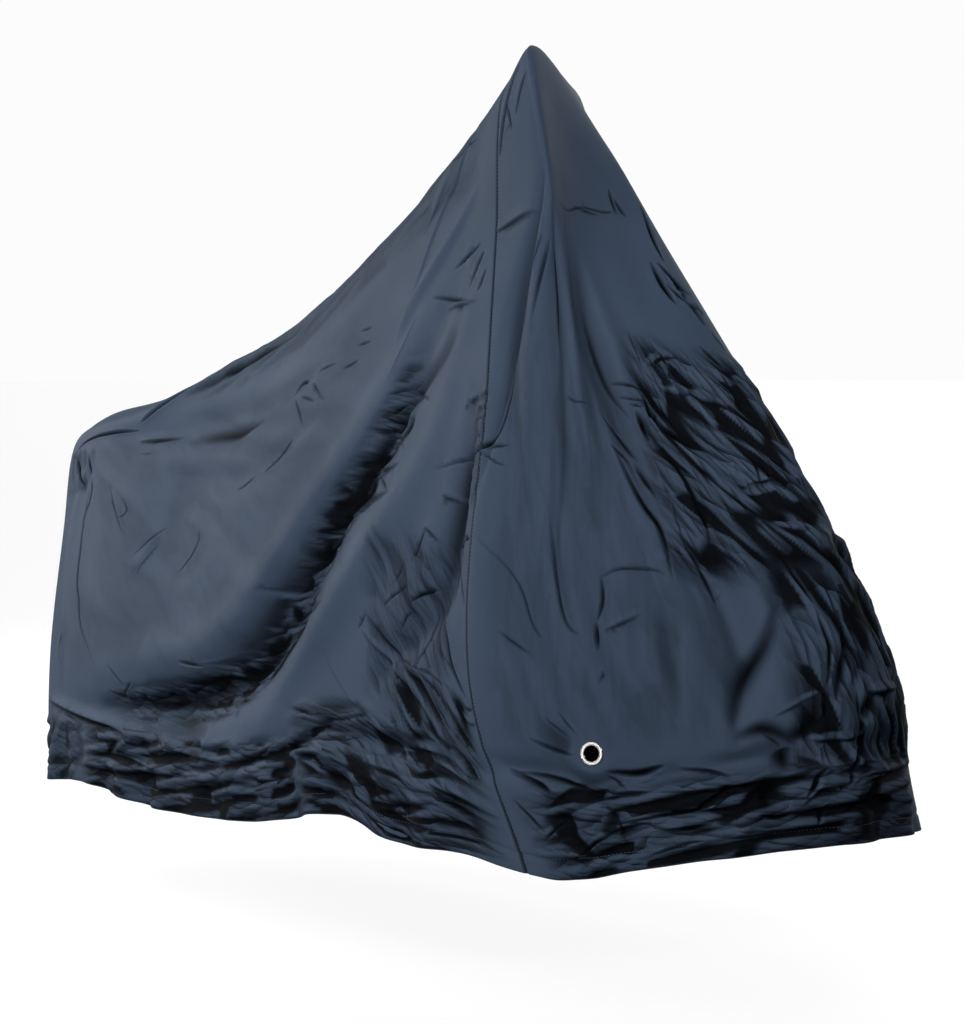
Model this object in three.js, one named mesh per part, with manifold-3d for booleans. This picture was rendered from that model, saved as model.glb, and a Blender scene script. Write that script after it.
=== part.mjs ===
// Motorcycle cover: two sewn cloth panels, draped as a hollow hood over a parked motorcycle
// whose handlebar is turned to the left, with one metal eyelet for a lock low on the front panel.
// Units are millimetres, +X is forward, +Y is left and +Z is up.
// The origin lies just under the cloth, midway between the two mirrors that hold the cover up.
import * as THREE from "three";
import { mergeVertices } from "three/addons/utils/BufferGeometryUtils.js";
import Module from "manifold-3d";

const wasm = await Module();
wasm.setup();

// Driving dimensions
const REST_HEIGHT = 1375; // from the ground under the wheels up to the origin
const CLOTH = 2; // thickness of the cloth
const HEM_EXTRA = 3; // added thickness of the folded hem with its elastic
const HEM_START = 0.972; // where down the cloth the hem begins
const PIECE_GAP = 0.3; // between any two pieces that touch
const SEAM = { girth: 0.266, open: 0.0008 }; // place of the seam and the gap in it, as shares of the girth
const EYELET = {
  girth: 0.177, // place round the cover, 0 at the nose and 1 at the tail
  drop: 0.836, // place down the cloth, 0 at the spine and 1 at the hem
  hole: 21, // clear diameter
  flange: 38, // outer diameter
  tube: 1.2, // wall of the tube
  lip: 1.7, // thickness of each flange
  round: 0.6, // rounding of the flange's edge
  flat: 75, // radius of the cloth that lies flat round it
  blend: 70, // width of the ring in which the cloth leaves that flat
};
const PATCH = 100; // side of the square of cloth that holds the eyelet
const PATCH_DEPTH = 80; // depth of the cut that parts it from the panel
const GATHERS = { start: 0.86, depth: 10, coarse: 13, fine: 21, drift: 1.3 }; // waves pulled in by the elastic

// Cells of the cloth: columns from seam to nose, columns from seam to tail, rows from spine to hem;
// and the sides of the eyelet
const CELLS = { front: 17, rear: 31, rows: 22, ring: 28 };

// Stations down each rib: how far down the cloth, and how far the turned handlebar moves the left
// side's point back, outward and down from the right side's mirror image.
const STATIONS = [
  { station: "spine", drop: 0, back: 0, out: 0, low: 0 },
  { station: "brow", drop: 0.15, back: 366, out: 98, low: 50 },
  { station: "bar", drop: 0.32, back: 500, out: 120, low: 30 },
  { station: "flank", drop: 0.52, back: 370, out: 60, low: 0 },
  { station: "knee", drop: 0.76, back: 140, out: 0, low: 0 },
  { station: "hem", drop: 1, back: 0, out: 0, low: 0 },
];

// Ribs of the right side from the nose to the tail: for each station a point [x, y, z],
// x from the origin, y from the middle plane, z from the ground.
// turn is the share of the handlebar's turn that the rib's twin on the left takes,
// girth its place round the cover, 0 at the nose and 1 at the tail.
const RIBS = [
  { rib: "nose", turn: 0, girth: 0, spine: [165, 0, 1228], brow: [256, 0, 1115], bar: [380, 0, 965],
    flank: [552, 0, 750], knee: [690, 0, 480], hem: [690, 0, 235] },
  { rib: "cheek", turn: 0.3, girth: 0.0811, spine: [135, 0, 1262], brow: [220, -70, 1146], bar: [335, -110, 990],
    flank: [470, -145, 760], knee: [610, -175, 470], hem: [622, -180, 225] },
  { rib: "lock", turn: 0.7, girth: 0.1612, spine: [85, 0, 1318], brow: [170, -120, 1238], bar: [270, -190, 1030],
    flank: [360, -240, 780], knee: [450, -295, 450], hem: [500, -290, 200] },
  { rib: "mirror", turn: 1, girth: 0.2137, spine: [30, 0, 1380], brow: [146, -172, 1402], bar: [230, -220, 1160],
    flank: [270, -270, 840], knee: [340, -345, 460], hem: [420, -325, 180] },
  { rib: "seam", turn: 0.85, girth: 0.2641, spine: [0, 0, 1385], brow: [60, -155, 1356], bar: [95, -200, 1130],
    flank: [165, -280, 870], knee: [225, -360, 450], hem: [335, -345, 180] },
  { rib: "tank", turn: 0.6, girth: 0.3234, spine: [-120, 0, 1300], brow: [-60, -110, 1302], bar: [-20, -180, 1100],
    flank: [30, -250, 850], knee: [90, -340, 500], hem: [150, -370, 213] },
  { rib: "thigh", turn: 0.25, girth: 0.4366, spine: [-330, 0, 1158], brow: [-300, -80, 1154], bar: [-270, -150, 1020],
    flank: [-230, -220, 830], knee: [-170, -320, 520], hem: [-70, -380, 228] },
  { rib: "seat", turn: 0, girth: 0.554, spine: [-620, 0, 1017], brow: [-600, -60, 992], bar: [-570, -130, 880],
    flank: [-510, -220, 710], knee: [-440, -310, 460], hem: [-350, -360, 184] },
  { rib: "pillion", turn: 0, girth: 0.672, spine: [-820, 0, 940], brow: [-810, -60, 920], bar: [-790, -120, 830],
    flank: [-760, -190, 670], knee: [-710, -280, 440], hem: [-690, -310, 166] },
  { rib: "rack", turn: 0, girth: 0.781, spine: [-1050, 0, 870], brow: [-1030, -70, 846], bar: [-1010, -120, 790],
    flank: [-980, -190, 645], knee: [-960, -260, 420], hem: [-970, -270, 179] },
  { rib: "corner", turn: 0, girth: 0.9038, spine: [-1235, 0, 838], brow: [-1245, -60, 812], bar: [-1255, -95, 770],
    flank: [-1245, -125, 630], knee: [-1228, -170, 400], hem: [-1195, -200, 158] },
  { rib: "tail", turn: 0, girth: 1, spine: [-1300, 0, 806], brow: [-1335, 0, 774], bar: [-1360, 0, 715],
    flank: [-1370, 0, 580], knee: [-1370, 0, 400], hem: [-1360, 0, 160] },
];

// Main folds: half width and depth (outward positive), and the path as places [girth, drop];
// a girth over 1 lies on the left side.
const FOLDS = [
  { fold: "long trough", width: 54, depth: -36,
    path: [[0.31, 0.33], [0.4, 0.55], [0.455, 0.65], [0.5, 0.745], [0.56, 0.81], [0.68, 0.86], [0.82, 0.88]] },
  { fold: "belly lip", width: 60, depth: 20,
    path: [[0.36, 0.36], [0.425, 0.53], [0.485, 0.63], [0.54, 0.7], [0.62, 0.76], [0.78, 0.8]] },
  { fold: "thigh ridge", width: 44, depth: 20,
    path: [[0.285, 0.36], [0.34, 0.56], [0.385, 0.65], [0.425, 0.73], [0.475, 0.81], [0.54, 0.89]] },
  { fold: "seam trough", width: 40, depth: -28,
    path: [[0.28, 0.48], [0.297, 0.62], [0.312, 0.7], [0.345, 0.76], [0.4, 0.85]] },
  { fold: "seam ridge", width: 28, depth: 12, path: [[0.258, 0.5], [0.258, 0.66], [0.258, 0.82]] },
  { fold: "bar ray back", width: 18, depth: -20, path: [[0.213, 0.27], [0.238, 0.4], [0.247, 0.48], [0.262, 0.6]] },
  { fold: "bar ray ridge", width: 18, depth: 14, path: [[0.21, 0.28], [0.22, 0.42], [0.225, 0.62]] },
  { fold: "bar ray mid", width: 18, depth: -16, path: [[0.204, 0.29], [0.197, 0.43], [0.195, 0.64]] },
  { fold: "bar ray fore", width: 26, depth: 16, path: [[0.192, 0.28], [0.178, 0.44], [0.172, 0.62], [0.17, 0.78]] },
  { fold: "brow ray", width: 22, depth: -18, path: [[0.175, 0.24], [0.15, 0.38], [0.13, 0.48], [0.105, 0.64]] },
  { fold: "brow lip", width: 24, depth: 12, path: [[0.155, 0.24], [0.125, 0.38], [0.09, 0.52]] },
  { fold: "nose dent", width: 28, depth: -16, path: [[0.125, 0.38], [0.085, 0.44], [0.04, 0.49]] },
  { fold: "nose ray", width: 30, depth: 14, path: [[0.095, 0.46], [0.07, 0.58], [0.055, 0.74]] },
  { fold: "pocket", width: 26, depth: -28, path: [[0.095, 0.58], [0.08, 0.71], [0.09, 0.85]] },
  { fold: "pocket lip", width: 28, depth: 14, path: [[0.118, 0.56], [0.112, 0.7], [0.118, 0.85]] },
  { fold: "seat hollow", width: 36, depth: -17, path: [[0.85, 0.3], [0.72, 0.32], [0.62, 0.335], [0.5, 0.36]] },
  { fold: "belly hollow", width: 30, depth: -10, path: [[0.74, 0.42], [0.61, 0.475], [0.48, 0.46]] },
  { fold: "tail edge", width: 24, depth: 12, path: [[0.64, 0.15], [0.77, 0.2], [0.9, 0.23]] },
  { fold: "lock shelf", width: 24, depth: -20, path: [[0.27, 0.84], [0.22, 0.868], [0.15, 0.88], [0.07, 0.86]] },
  { fold: "nose shelf", width: 26, depth: -18, path: [[0.12, 0.88], [0.04, 0.86], [-0.06, 0.87]] },
  { fold: "side shelf", width: 24, depth: -18, path: [[0.25, 0.86], [0.34, 0.89], [0.44, 0.9], [0.6, 0.91]] },
  { fold: "left trough", width: 50, depth: -30, path: [[1.72, 0.3], [1.62, 0.5], [1.54, 0.68], [1.46, 0.86]] },
  { fold: "left ridge", width: 50, depth: 20, path: [[1.78, 0.32], [1.7, 0.52], [1.64, 0.7], [1.58, 0.88]] },
  { fold: "left front trough", width: 44, depth: -24, path: [[1.84, 0.26], [1.86, 0.46], [1.85, 0.66], [1.86, 0.86]] },
];
const PATH_STEPS = 48; // points along each fold

const smooth = (low, high, x) => THREE.MathUtils.smoothstep(x, low, high);

// Curve through points at uneven places, with the slopes of its neighbours
function through(places, points, at) {
  let i = 1;
  while (i < places.length - 3 && places[i + 1] <= at) {
    i += 1;
  }
  const [t0, t1, t2, t3] = [places[i - 1], places[i], places[i + 1], places[i + 2]];
  const [p0, p1, p2, p3] = [points[i - 1], points[i], points[i + 1], points[i + 2]];
  const span = t2 - t1;
  const s = (at - t1) / span;
  const slope1 = p2.clone().sub(p0).divideScalar(t2 - t0);
  const slope2 = p3.clone().sub(p1).divideScalar(t3 - t1);
  return new THREE.Vector3()
    .addScaledVector(p1, 2 * s ** 3 - 3 * s ** 2 + 1)
    .addScaledVector(slope1, span * (s ** 3 - 2 * s ** 2 + s))
    .addScaledVector(p2, 3 * s ** 2 - 2 * s ** 3)
    .addScaledVector(slope2, span * (s ** 3 - s ** 2));
}

// Both sides of the ribs
const right = RIBS.map((row) => STATIONS.map((s) => new THREE.Vector3(...row[s.station])));
const left = RIBS.map((row, i) => STATIONS.map((s, j) => new THREE.Vector3(
  right[i][j].x - row.turn * s.back,
  row.turn * s.out - right[i][j].y,
  right[i][j].z - row.turn * s.low,
)));

// A closed ring of ribs, each prolonged over the spine and below the hem, with a few repeated at its ends
const last = RIBS.length - 1;
const ring = [];
for (let lap = -1; lap <= 1; lap += 1) {
  for (let i = 0; i < 2 * last; i += 1) {
    const onRight = i <= last;
    const row = onRight ? i : 2 * last - i;
    const own = onRight ? right[row] : left[row];
    const other = onRight ? left[row] : right[row];
    const end = own.length - 1;
    const below = own[end].clone().multiplyScalar(2).sub(own[end - 1]);
    ring.push({
      girth: (onRight ? RIBS[row].girth : 2 - RIBS[row].girth) + 2 * lap,
      points: [other[1], ...own, below],
    });
  }
}
const drops = STATIONS.map((s) => s.drop);
const longDrops = [-drops[1], ...drops, 2 * drops[5] - drops[4]];
const ringGirths = ring.map((rib) => rib.girth);

// Smooth cloth, before any fold
function basePoint(girth, drop) {
  const g = THREE.MathUtils.euclideanModulo(drop < 0 ? -girth : girth, 2);
  const v = Math.abs(drop);
  const i = ringGirths.findLastIndex((place) => place <= g);
  const near = [i - 1, i, i + 1, i + 2];
  const points = near.map((k) => through(longDrops, ring[k].points, v));
  return through(near.map((k) => ringGirths[k]), points, g);
}

function sideNormal(girth, drop) {
  const e = 0.004;
  const along = basePoint(girth + e, drop).sub(basePoint(girth - e, drop));
  const down = basePoint(girth, drop + e).sub(basePoint(girth, drop - e));
  return along.cross(down).normalize();
}

// Outward direction; near the spine both sides share one
function baseNormal(girth, drop) {
  const v = Math.max(drop, 0.012);
  const own = sideNormal(girth, v);
  if (drop > 0.012) {
    return own;
  }
  return own.add(sideNormal(-girth, v)).normalize();
}

// Fold paths laid on the smooth cloth
const foldPaths = FOLDS.map((row) => {
  const curve = new THREE.SplineCurve(row.path.map(([girth, drop]) => new THREE.Vector2(girth, drop)));
  const points = curve.getPoints(PATH_STEPS).map((place) => basePoint(place.x, place.y));
  return { width: row.width, depth: row.depth, points };
});

// Depth of all folds at a point of the smooth cloth: full in mid path, fading out to both ends
function foldDepth(point) {
  let sum = 0;
  for (const { width, depth, points } of foldPaths) {
    let nearest = Infinity;
    let place = 0;
    points.forEach((p, k) => {
      const d = p.distanceTo(point);
      if (d < nearest) {
        nearest = d;
        place = k / PATH_STEPS;
      }
    });
    const fade = Math.sin(Math.PI * place);
    const reach = width * (0.4 + 0.6 * fade);
    sum += depth * fade * Math.exp(-((nearest / reach) ** 2));
  }
  return sum;
}

function gatherDepth(girth, drop) {
  const turn = 2 * Math.PI * girth;
  const coarse = Math.sin(GATHERS.coarse * turn + GATHERS.drift * Math.sin(17 * girth));
  const fine = Math.sin(GATHERS.fine * turn + 2);
  return GATHERS.depth * smooth(GATHERS.start, 1, drop) * (0.55 * coarse + 0.45 * fine);
}

// Outer face of the cloth with its folds
function folded(girth, drop) {
  const point = basePoint(girth, drop);
  const normal = baseNormal(girth, drop);
  const calm = smooth(0, 0.06, drop);
  const depth = calm * (foldDepth(point) + gatherDepth(girth, drop));
  return { point: point.addScaledVector(normal, depth), normal };
}

// Place of the eyelet: the cloth lies flat round it
const seat = folded(EYELET.girth, EYELET.drop);

function clothAt(girth, drop) {
  const { point, normal } = folded(girth, drop);
  const offset = point.clone().sub(seat.point);
  const lift = offset.dot(seat.normal);
  const reach = offset.addScaledVector(seat.normal, -lift).length();
  const hold = 1 - smooth(EYELET.flat, EYELET.flat + EYELET.blend, reach);
  const near = Math.abs(lift) < EYELET.flat ? hold : 0;
  point.addScaledVector(seat.normal, -lift * near);
  normal.lerp(seat.normal, near).normalize();
  return { point, normal };
}

// Rows down the cloth, closer together at the hem
const rows = [];
for (let j = 0; j <= CELLS.rows; j += 1) {
  rows.push((HEM_START * j) / CELLS.rows);
}
rows.push((1 + HEM_START) / 2 - 0.006, 1);

// A closed sheet over the given columns; the columns are symmetric, so that the twins share the spine
function sheet(columns) {
  const count = columns.length;
  const outer = [];
  const inner = [];
  const ids = columns.map(() => []);
  columns.forEach((girth, i) => {
    rows.forEach((drop, j) => {
      const twin = count - 1 - i;
      if (j === 0 && twin < i) {
        ids[i].push(ids[twin][0]);
        return;
      }
      const { point, normal } = clothAt(girth, drop);
      const thick = CLOTH + HEM_EXTRA * smooth(HEM_START, HEM_START + 0.008, drop);
      ids[i].push(outer.length);
      outer.push(point);
      inner.push(point.clone().addScaledVector(normal, -thick));
    });
  });
  const faces = [];
  for (let i = 0; i < count - 1; i += 1) {
    for (let j = 0; j < rows.length - 1; j += 1) {
      const [a, b, c, d] = [ids[i][j], ids[i + 1][j], ids[i + 1][j + 1], ids[i][j + 1]];
      if (columns[i] > SEAM.girth && columns[i + 1] < 1) {
        faces.push([a, b, c], [a, c, d]);
      } else {
        faces.push([a, b, d], [b, c, d]);
      }
    }
  }
  const real = faces.filter(([a, b, c]) => a !== b && b !== c && c !== a);
  return closeSheet(outer, inner, real);
}

// Two skins joined along every free edge
function closeSheet(outer, inner, faces) {
  const shift = outer.length;
  const index = [];
  const edges = new Map();
  for (const [a, b, c] of faces) {
    index.push(a, b, c, a + shift, c + shift, b + shift);
    for (const [from, to] of [[a, b], [b, c], [c, a]]) {
      const back = `${to}_${from}`;
      if (edges.has(back)) {
        edges.delete(back);
      } else {
        edges.set(`${from}_${to}`, [from, to]);
      }
    }
  }
  for (const [from, to] of edges.values()) {
    index.push(to, from, from + shift, to, from + shift, to + shift);
  }
  const geometry = new THREE.BufferGeometry().setFromPoints([...outer, ...inner]);
  geometry.setIndex(index);
  return geometry;
}

// Joining and cutting
function toManifold(geometry) {
  const plain = geometry.clone();
  plain.deleteAttribute("normal");
  plain.deleteAttribute("uv");
  const welded = mergeVertices(plain, 1e-4);
  const solid = new wasm.Manifold(new wasm.Mesh({
    numProp: 3,
    vertProperties: new Float32Array(welded.attributes.position.array),
    triVerts: new Uint32Array(welded.index.array),
  }));
  return solid;
}

function toGeometry(solid) {
  const mesh = solid.getMesh();
  const geometry = new THREE.BufferGeometry();
  const positions = [];
  for (let i = 0; i < mesh.vertProperties.length; i += mesh.numProp) {
    positions.push(mesh.vertProperties[i], mesh.vertProperties[i + 1], mesh.vertProperties[i + 2]);
  }
  geometry.setAttribute("position", new THREE.Float32BufferAttribute(positions, 3));
  geometry.setIndex(Array.from(mesh.triVerts));
  return geometry;
}

// The eyelet's own frame: Z outward, Y up along the cloth
const upHint = new THREE.Vector3(0, 0, 1);
const eyeZ = seat.normal.clone();
const eyeX = upHint.clone().cross(eyeZ).normalize();
const eyeY = eyeZ.clone().cross(eyeX);
const eyeFrame = new THREE.Matrix4().makeBasis(eyeX, eyeY, eyeZ).setPosition(seat.point);

function patchBlock(side) {
  return toManifold(new THREE.BoxGeometry(side, side, PATCH_DEPTH).applyMatrix4(eyeFrame));
}

// Panels, from seam to seam
const frontColumns = [];
for (let i = -CELLS.front; i <= CELLS.front; i += 1) {
  frontColumns.push(((SEAM.girth - SEAM.open / 2) * i) / CELLS.front);
}
const rearColumns = [];
const rearStart = SEAM.girth + SEAM.open / 2;
for (let i = -CELLS.rear; i <= CELLS.rear; i += 1) {
  rearColumns.push(1 + ((1 - rearStart) * i) / CELLS.rear);
}
const wholeFront = toManifold(sheet(frontColumns));
const rearPanel = sheet(rearColumns);
const frontPanel = toGeometry(wholeFront.subtract(patchBlock(PATCH + 2 * PIECE_GAP)));

// Square of cloth with the eyelet's hole
const tubeRadius = EYELET.hole / 2 + EYELET.tube;
const holeBlock = new THREE.CylinderGeometry(tubeRadius + PIECE_GAP, tubeRadius + PIECE_GAP, PATCH_DEPTH, CELLS.ring)
  .rotateX(Math.PI / 2)
  .applyMatrix4(eyeFrame);
const patch = toGeometry(wholeFront.intersect(patchBlock(PATCH)).subtract(toManifold(holeBlock)));

// Eyelet: a tube with a rounded flange on each face of the cloth
const innerRadius = EYELET.hole / 2;
const outerRadius = EYELET.flange / 2;
const faceUp = PIECE_GAP;
const faceDown = -CLOTH - PIECE_GAP;
const ringProfile = [
  [innerRadius, faceDown - 0.6 * EYELET.lip],
  [innerRadius + EYELET.round, faceDown - 0.9 * EYELET.lip],
  [(innerRadius + outerRadius) / 2, faceDown - EYELET.lip],
  [outerRadius - EYELET.round, faceDown - 0.7 * EYELET.lip],
  [outerRadius, faceDown - 0.35 * EYELET.lip],
  [outerRadius - EYELET.round / 2, faceDown],
  [tubeRadius, faceDown],
  [tubeRadius, faceUp],
  [outerRadius - EYELET.round / 2, faceUp],
  [outerRadius, faceUp + 0.35 * EYELET.lip],
  [outerRadius - EYELET.round, faceUp + 0.7 * EYELET.lip],
  [(innerRadius + outerRadius) / 2, faceUp + EYELET.lip],
  [innerRadius + EYELET.round, faceUp + 0.9 * EYELET.lip],
  [innerRadius, faceUp + 0.6 * EYELET.lip],
  [innerRadius, faceDown - 0.6 * EYELET.lip],
].map(([radius, height]) => new THREE.Vector2(radius, height));
const ringShape = new THREE.LatheGeometry(ringProfile, CELLS.ring).rotateX(Math.PI / 2).applyMatrix4(eyeFrame);
ringShape.deleteAttribute("normal");
ringShape.deleteAttribute("uv");
const eyeletRing = mergeVertices(ringShape, 1e-4);

// Finishes
const clothFinish = { color: "#2d3644", roughness: 0.55, metalness: 0 };
const metalFinish = { color: "#c4c7cb", roughness: 0.25, metalness: 1 };
const part = new THREE.Group();
part.name = "motorcycle_cover";
part.position.z = -REST_HEIGHT;
for (const [name, geometry, finish] of [
  ["front_panel", frontPanel, clothFinish],
  ["rear_panel", rearPanel, clothFinish],
  ["eyelet_patch", patch, clothFinish],
  ["eyelet_ring", eyeletRing, metalFinish],
]) {
  const mesh = new THREE.Mesh(geometry, new THREE.MeshStandardMaterial(finish));
  mesh.name = name;
  part.add(mesh);
}

export default part;
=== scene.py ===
import math
from functools import lru_cache
from typing import NamedTuple

import bmesh
import bpy
import numpy as np
from bpy.props import FloatProperty, FloatVectorProperty, PointerProperty
from bpy.types import Operator, Panel, PropertyGroup
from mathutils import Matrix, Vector
from mathutils.geometry import delaunay_2d_cdt


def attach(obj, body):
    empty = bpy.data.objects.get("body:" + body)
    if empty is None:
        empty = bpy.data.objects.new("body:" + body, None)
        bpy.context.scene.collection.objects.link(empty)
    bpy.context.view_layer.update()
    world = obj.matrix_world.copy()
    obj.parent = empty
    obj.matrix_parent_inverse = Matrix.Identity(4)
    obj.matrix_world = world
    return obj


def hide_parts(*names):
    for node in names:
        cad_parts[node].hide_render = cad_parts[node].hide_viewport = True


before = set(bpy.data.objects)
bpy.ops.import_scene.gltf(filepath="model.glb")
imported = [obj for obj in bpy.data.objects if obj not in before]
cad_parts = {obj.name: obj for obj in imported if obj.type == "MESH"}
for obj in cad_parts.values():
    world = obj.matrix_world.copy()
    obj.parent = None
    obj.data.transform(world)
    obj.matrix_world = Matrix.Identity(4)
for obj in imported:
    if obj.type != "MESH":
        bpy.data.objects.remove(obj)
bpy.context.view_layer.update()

bl_info = {
    "name": "Motorcycle cover",
    "version": (1, 0, 0),
    "blender": (4, 5, 0),
    "location": "View3D > Sidebar > Cover",
    "description": "Builds the draped motorcycle cover, its eyelet, its stitching and the stage",
    "category": "Object",
}

MM = 0.001
REST_HEIGHT = 1.375  # from the ground up to the origin
GIRTH_LENGTH = 2.3  # along the cloth from nose to tail
FLAT_PATTERN = (2.45, 1.3)  # flat cloth in metres for one of girth and one of drop
SEAM_GIRTH = 0.266
SEAM_OPEN = 0.0008
EYELET_GIRTH = 0.177
EYELET_DROP = 0.836
EYELET_FLAT = (23 * MM, 50 * MM)  # the cloth lies flat within the first and is free past the second
EYELET_DEEP = 80 * MM  # cloth further off than this is on the other side

# Stations down each rib: how far down the cloth, and how far in mm the turned handlebar moves the
# left side's point back, outward and down from the right side's mirror image.
STATIONS = [
    ("spine", 0.0, 0, 0, 0),
    ("brow", 0.15, 366, 98, 50),
    ("bar", 0.32, 500, 120, 30),
    ("flank", 0.52, 370, 60, 0),
    ("knee", 0.76, 140, 0, 0),
    ("hem", 1.0, 0, 0, 0),
]

# Ribs of the right side from nose to tail: name, share of the handlebar's turn that the left twin
# takes, place round the cover, and a point in mm for each station, x from the origin, y from the
# middle, z from the ground.
RIBS = [
    ("nose", 0.0, 0.0, (165, 0, 1228), (256, 0, 1115), (380, 0, 965),
     (552, 0, 750), (690, 0, 480), (690, 0, 235)),
    ("cheek", 0.3, 0.0811, (135, 0, 1262), (220, -70, 1146), (335, -110, 990),
     (470, -145, 760), (610, -175, 470), (622, -180, 225)),
    ("lock", 0.7, 0.1612, (85, 0, 1318), (170, -120, 1238), (270, -190, 1030),
     (360, -240, 780), (450, -295, 450), (500, -290, 200)),
    ("mirror", 1.0, 0.2137, (30, 0, 1380), (146, -172, 1402), (230, -220, 1160),
     (270, -270, 840), (340, -345, 460), (420, -325, 180)),
    ("seam", 0.85, 0.2641, (0, 0, 1385), (60, -155, 1356), (95, -200, 1130),
     (165, -280, 870), (225, -360, 450), (335, -345, 180)),
    ("tank", 0.6, 0.3234, (-120, 0, 1300), (-60, -110, 1302), (-20, -180, 1100),
     (30, -250, 850), (90, -340, 500), (150, -370, 213)),
    ("thigh", 0.25, 0.4366, (-330, 0, 1158), (-300, -80, 1154), (-270, -150, 1020),
     (-230, -220, 830), (-170, -320, 520), (-70, -380, 228)),
    ("seat", 0.0, 0.554, (-620, 0, 1017), (-600, -60, 992), (-570, -130, 880),
     (-510, -220, 710), (-440, -310, 460), (-350, -360, 184)),
    ("pillion", 0.0, 0.672, (-820, 0, 940), (-810, -60, 920), (-790, -120, 830),
     (-760, -190, 670), (-710, -280, 440), (-690, -310, 166)),
    ("rack", 0.0, 0.781, (-1050, 0, 870), (-1030, -70, 846), (-1010, -120, 790),
     (-980, -190, 645), (-960, -260, 420), (-970, -270, 179)),
    ("corner", 0.0, 0.9038, (-1235, 0, 838), (-1245, -60, 812), (-1255, -95, 770),
     (-1245, -125, 630), (-1228, -170, 400), (-1195, -200, 158)),
    ("tail", 0.0, 1.0, (-1300, 0, 806), (-1335, 0, 774), (-1360, 0, 715),
     (-1370, 0, 580), (-1370, 0, 400), (-1360, 0, 160)),
]

# Main folds, as in the solids: name, half width and depth in mm, then the path's places (girth, drop)
# in thousandths.
FOLDS = [
    ("long trough", 54, -36, (310, 330), (400, 550), (455, 650), (500, 745), (560, 810), (680, 860),
     (820, 880)),
    ("belly lip", 60, 20, (360, 360), (425, 530), (485, 630), (540, 700), (620, 760), (780, 800)),
    ("thigh ridge", 44, 20, (285, 360), (340, 560), (385, 650), (425, 730), (475, 810), (540, 890)),
    ("seam trough", 40, -28, (280, 480), (297, 620), (312, 700), (345, 760), (400, 850)),
    ("seam ridge", 28, 12, (258, 500), (258, 660), (258, 820)),
    ("bar ray back", 18, -20, (213, 270), (238, 400), (247, 480), (262, 600)),
    ("bar ray ridge", 18, 14, (210, 280), (220, 420), (225, 620)),
    ("bar ray mid", 18, -16, (204, 290), (197, 430), (195, 640)),
    ("bar ray fore", 26, 16, (192, 280), (178, 440), (172, 620), (170, 780)),
    ("brow ray", 22, -18, (175, 240), (150, 380), (130, 480), (105, 640)),
    ("brow lip", 24, 12, (155, 240), (125, 380), (90, 520)),
    ("nose dent", 28, -16, (125, 380), (85, 440), (40, 490)),
    ("nose ray", 30, 14, (95, 460), (70, 580), (55, 740)),
    ("pocket", 26, -28, (95, 580), (80, 710), (90, 850)),
    ("pocket lip", 28, 14, (118, 560), (112, 700), (118, 850)),
    ("seat hollow", 36, -17, (850, 300), (720, 320), (620, 335), (500, 360)),
    ("belly hollow", 30, -10, (740, 420), (610, 475), (480, 460)),
    ("tail edge", 24, 12, (640, 150), (770, 200), (900, 230)),
    ("lock shelf", 24, -20, (270, 840), (220, 868), (150, 880), (70, 860)),
    ("nose shelf", 26, -18, (120, 880), (40, 860), (-60, 870)),
    ("side shelf", 24, -18, (250, 860), (340, 890), (440, 900), (600, 910)),
    ("left trough", 50, -30, (1720, 300), (1620, 500), (1540, 680), (1460, 860)),
    ("left ridge", 50, 20, (1780, 320), (1700, 520), (1640, 700), (1580, 880)),
    ("left front trough", 44, -24, (1840, 260), (1860, 460), (1850, 660), (1860, 860)),
]
PATH_STEPS = 48
THOUSAND = 1000.0
NORMAL_STEP = 0.004  # between the places that a normal is taken from
SPINE_DROP = 0.012  # above this the normals of both sides are one
GATHER_START = 0.86
GATHER_DEPTH = 10 * MM

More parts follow.
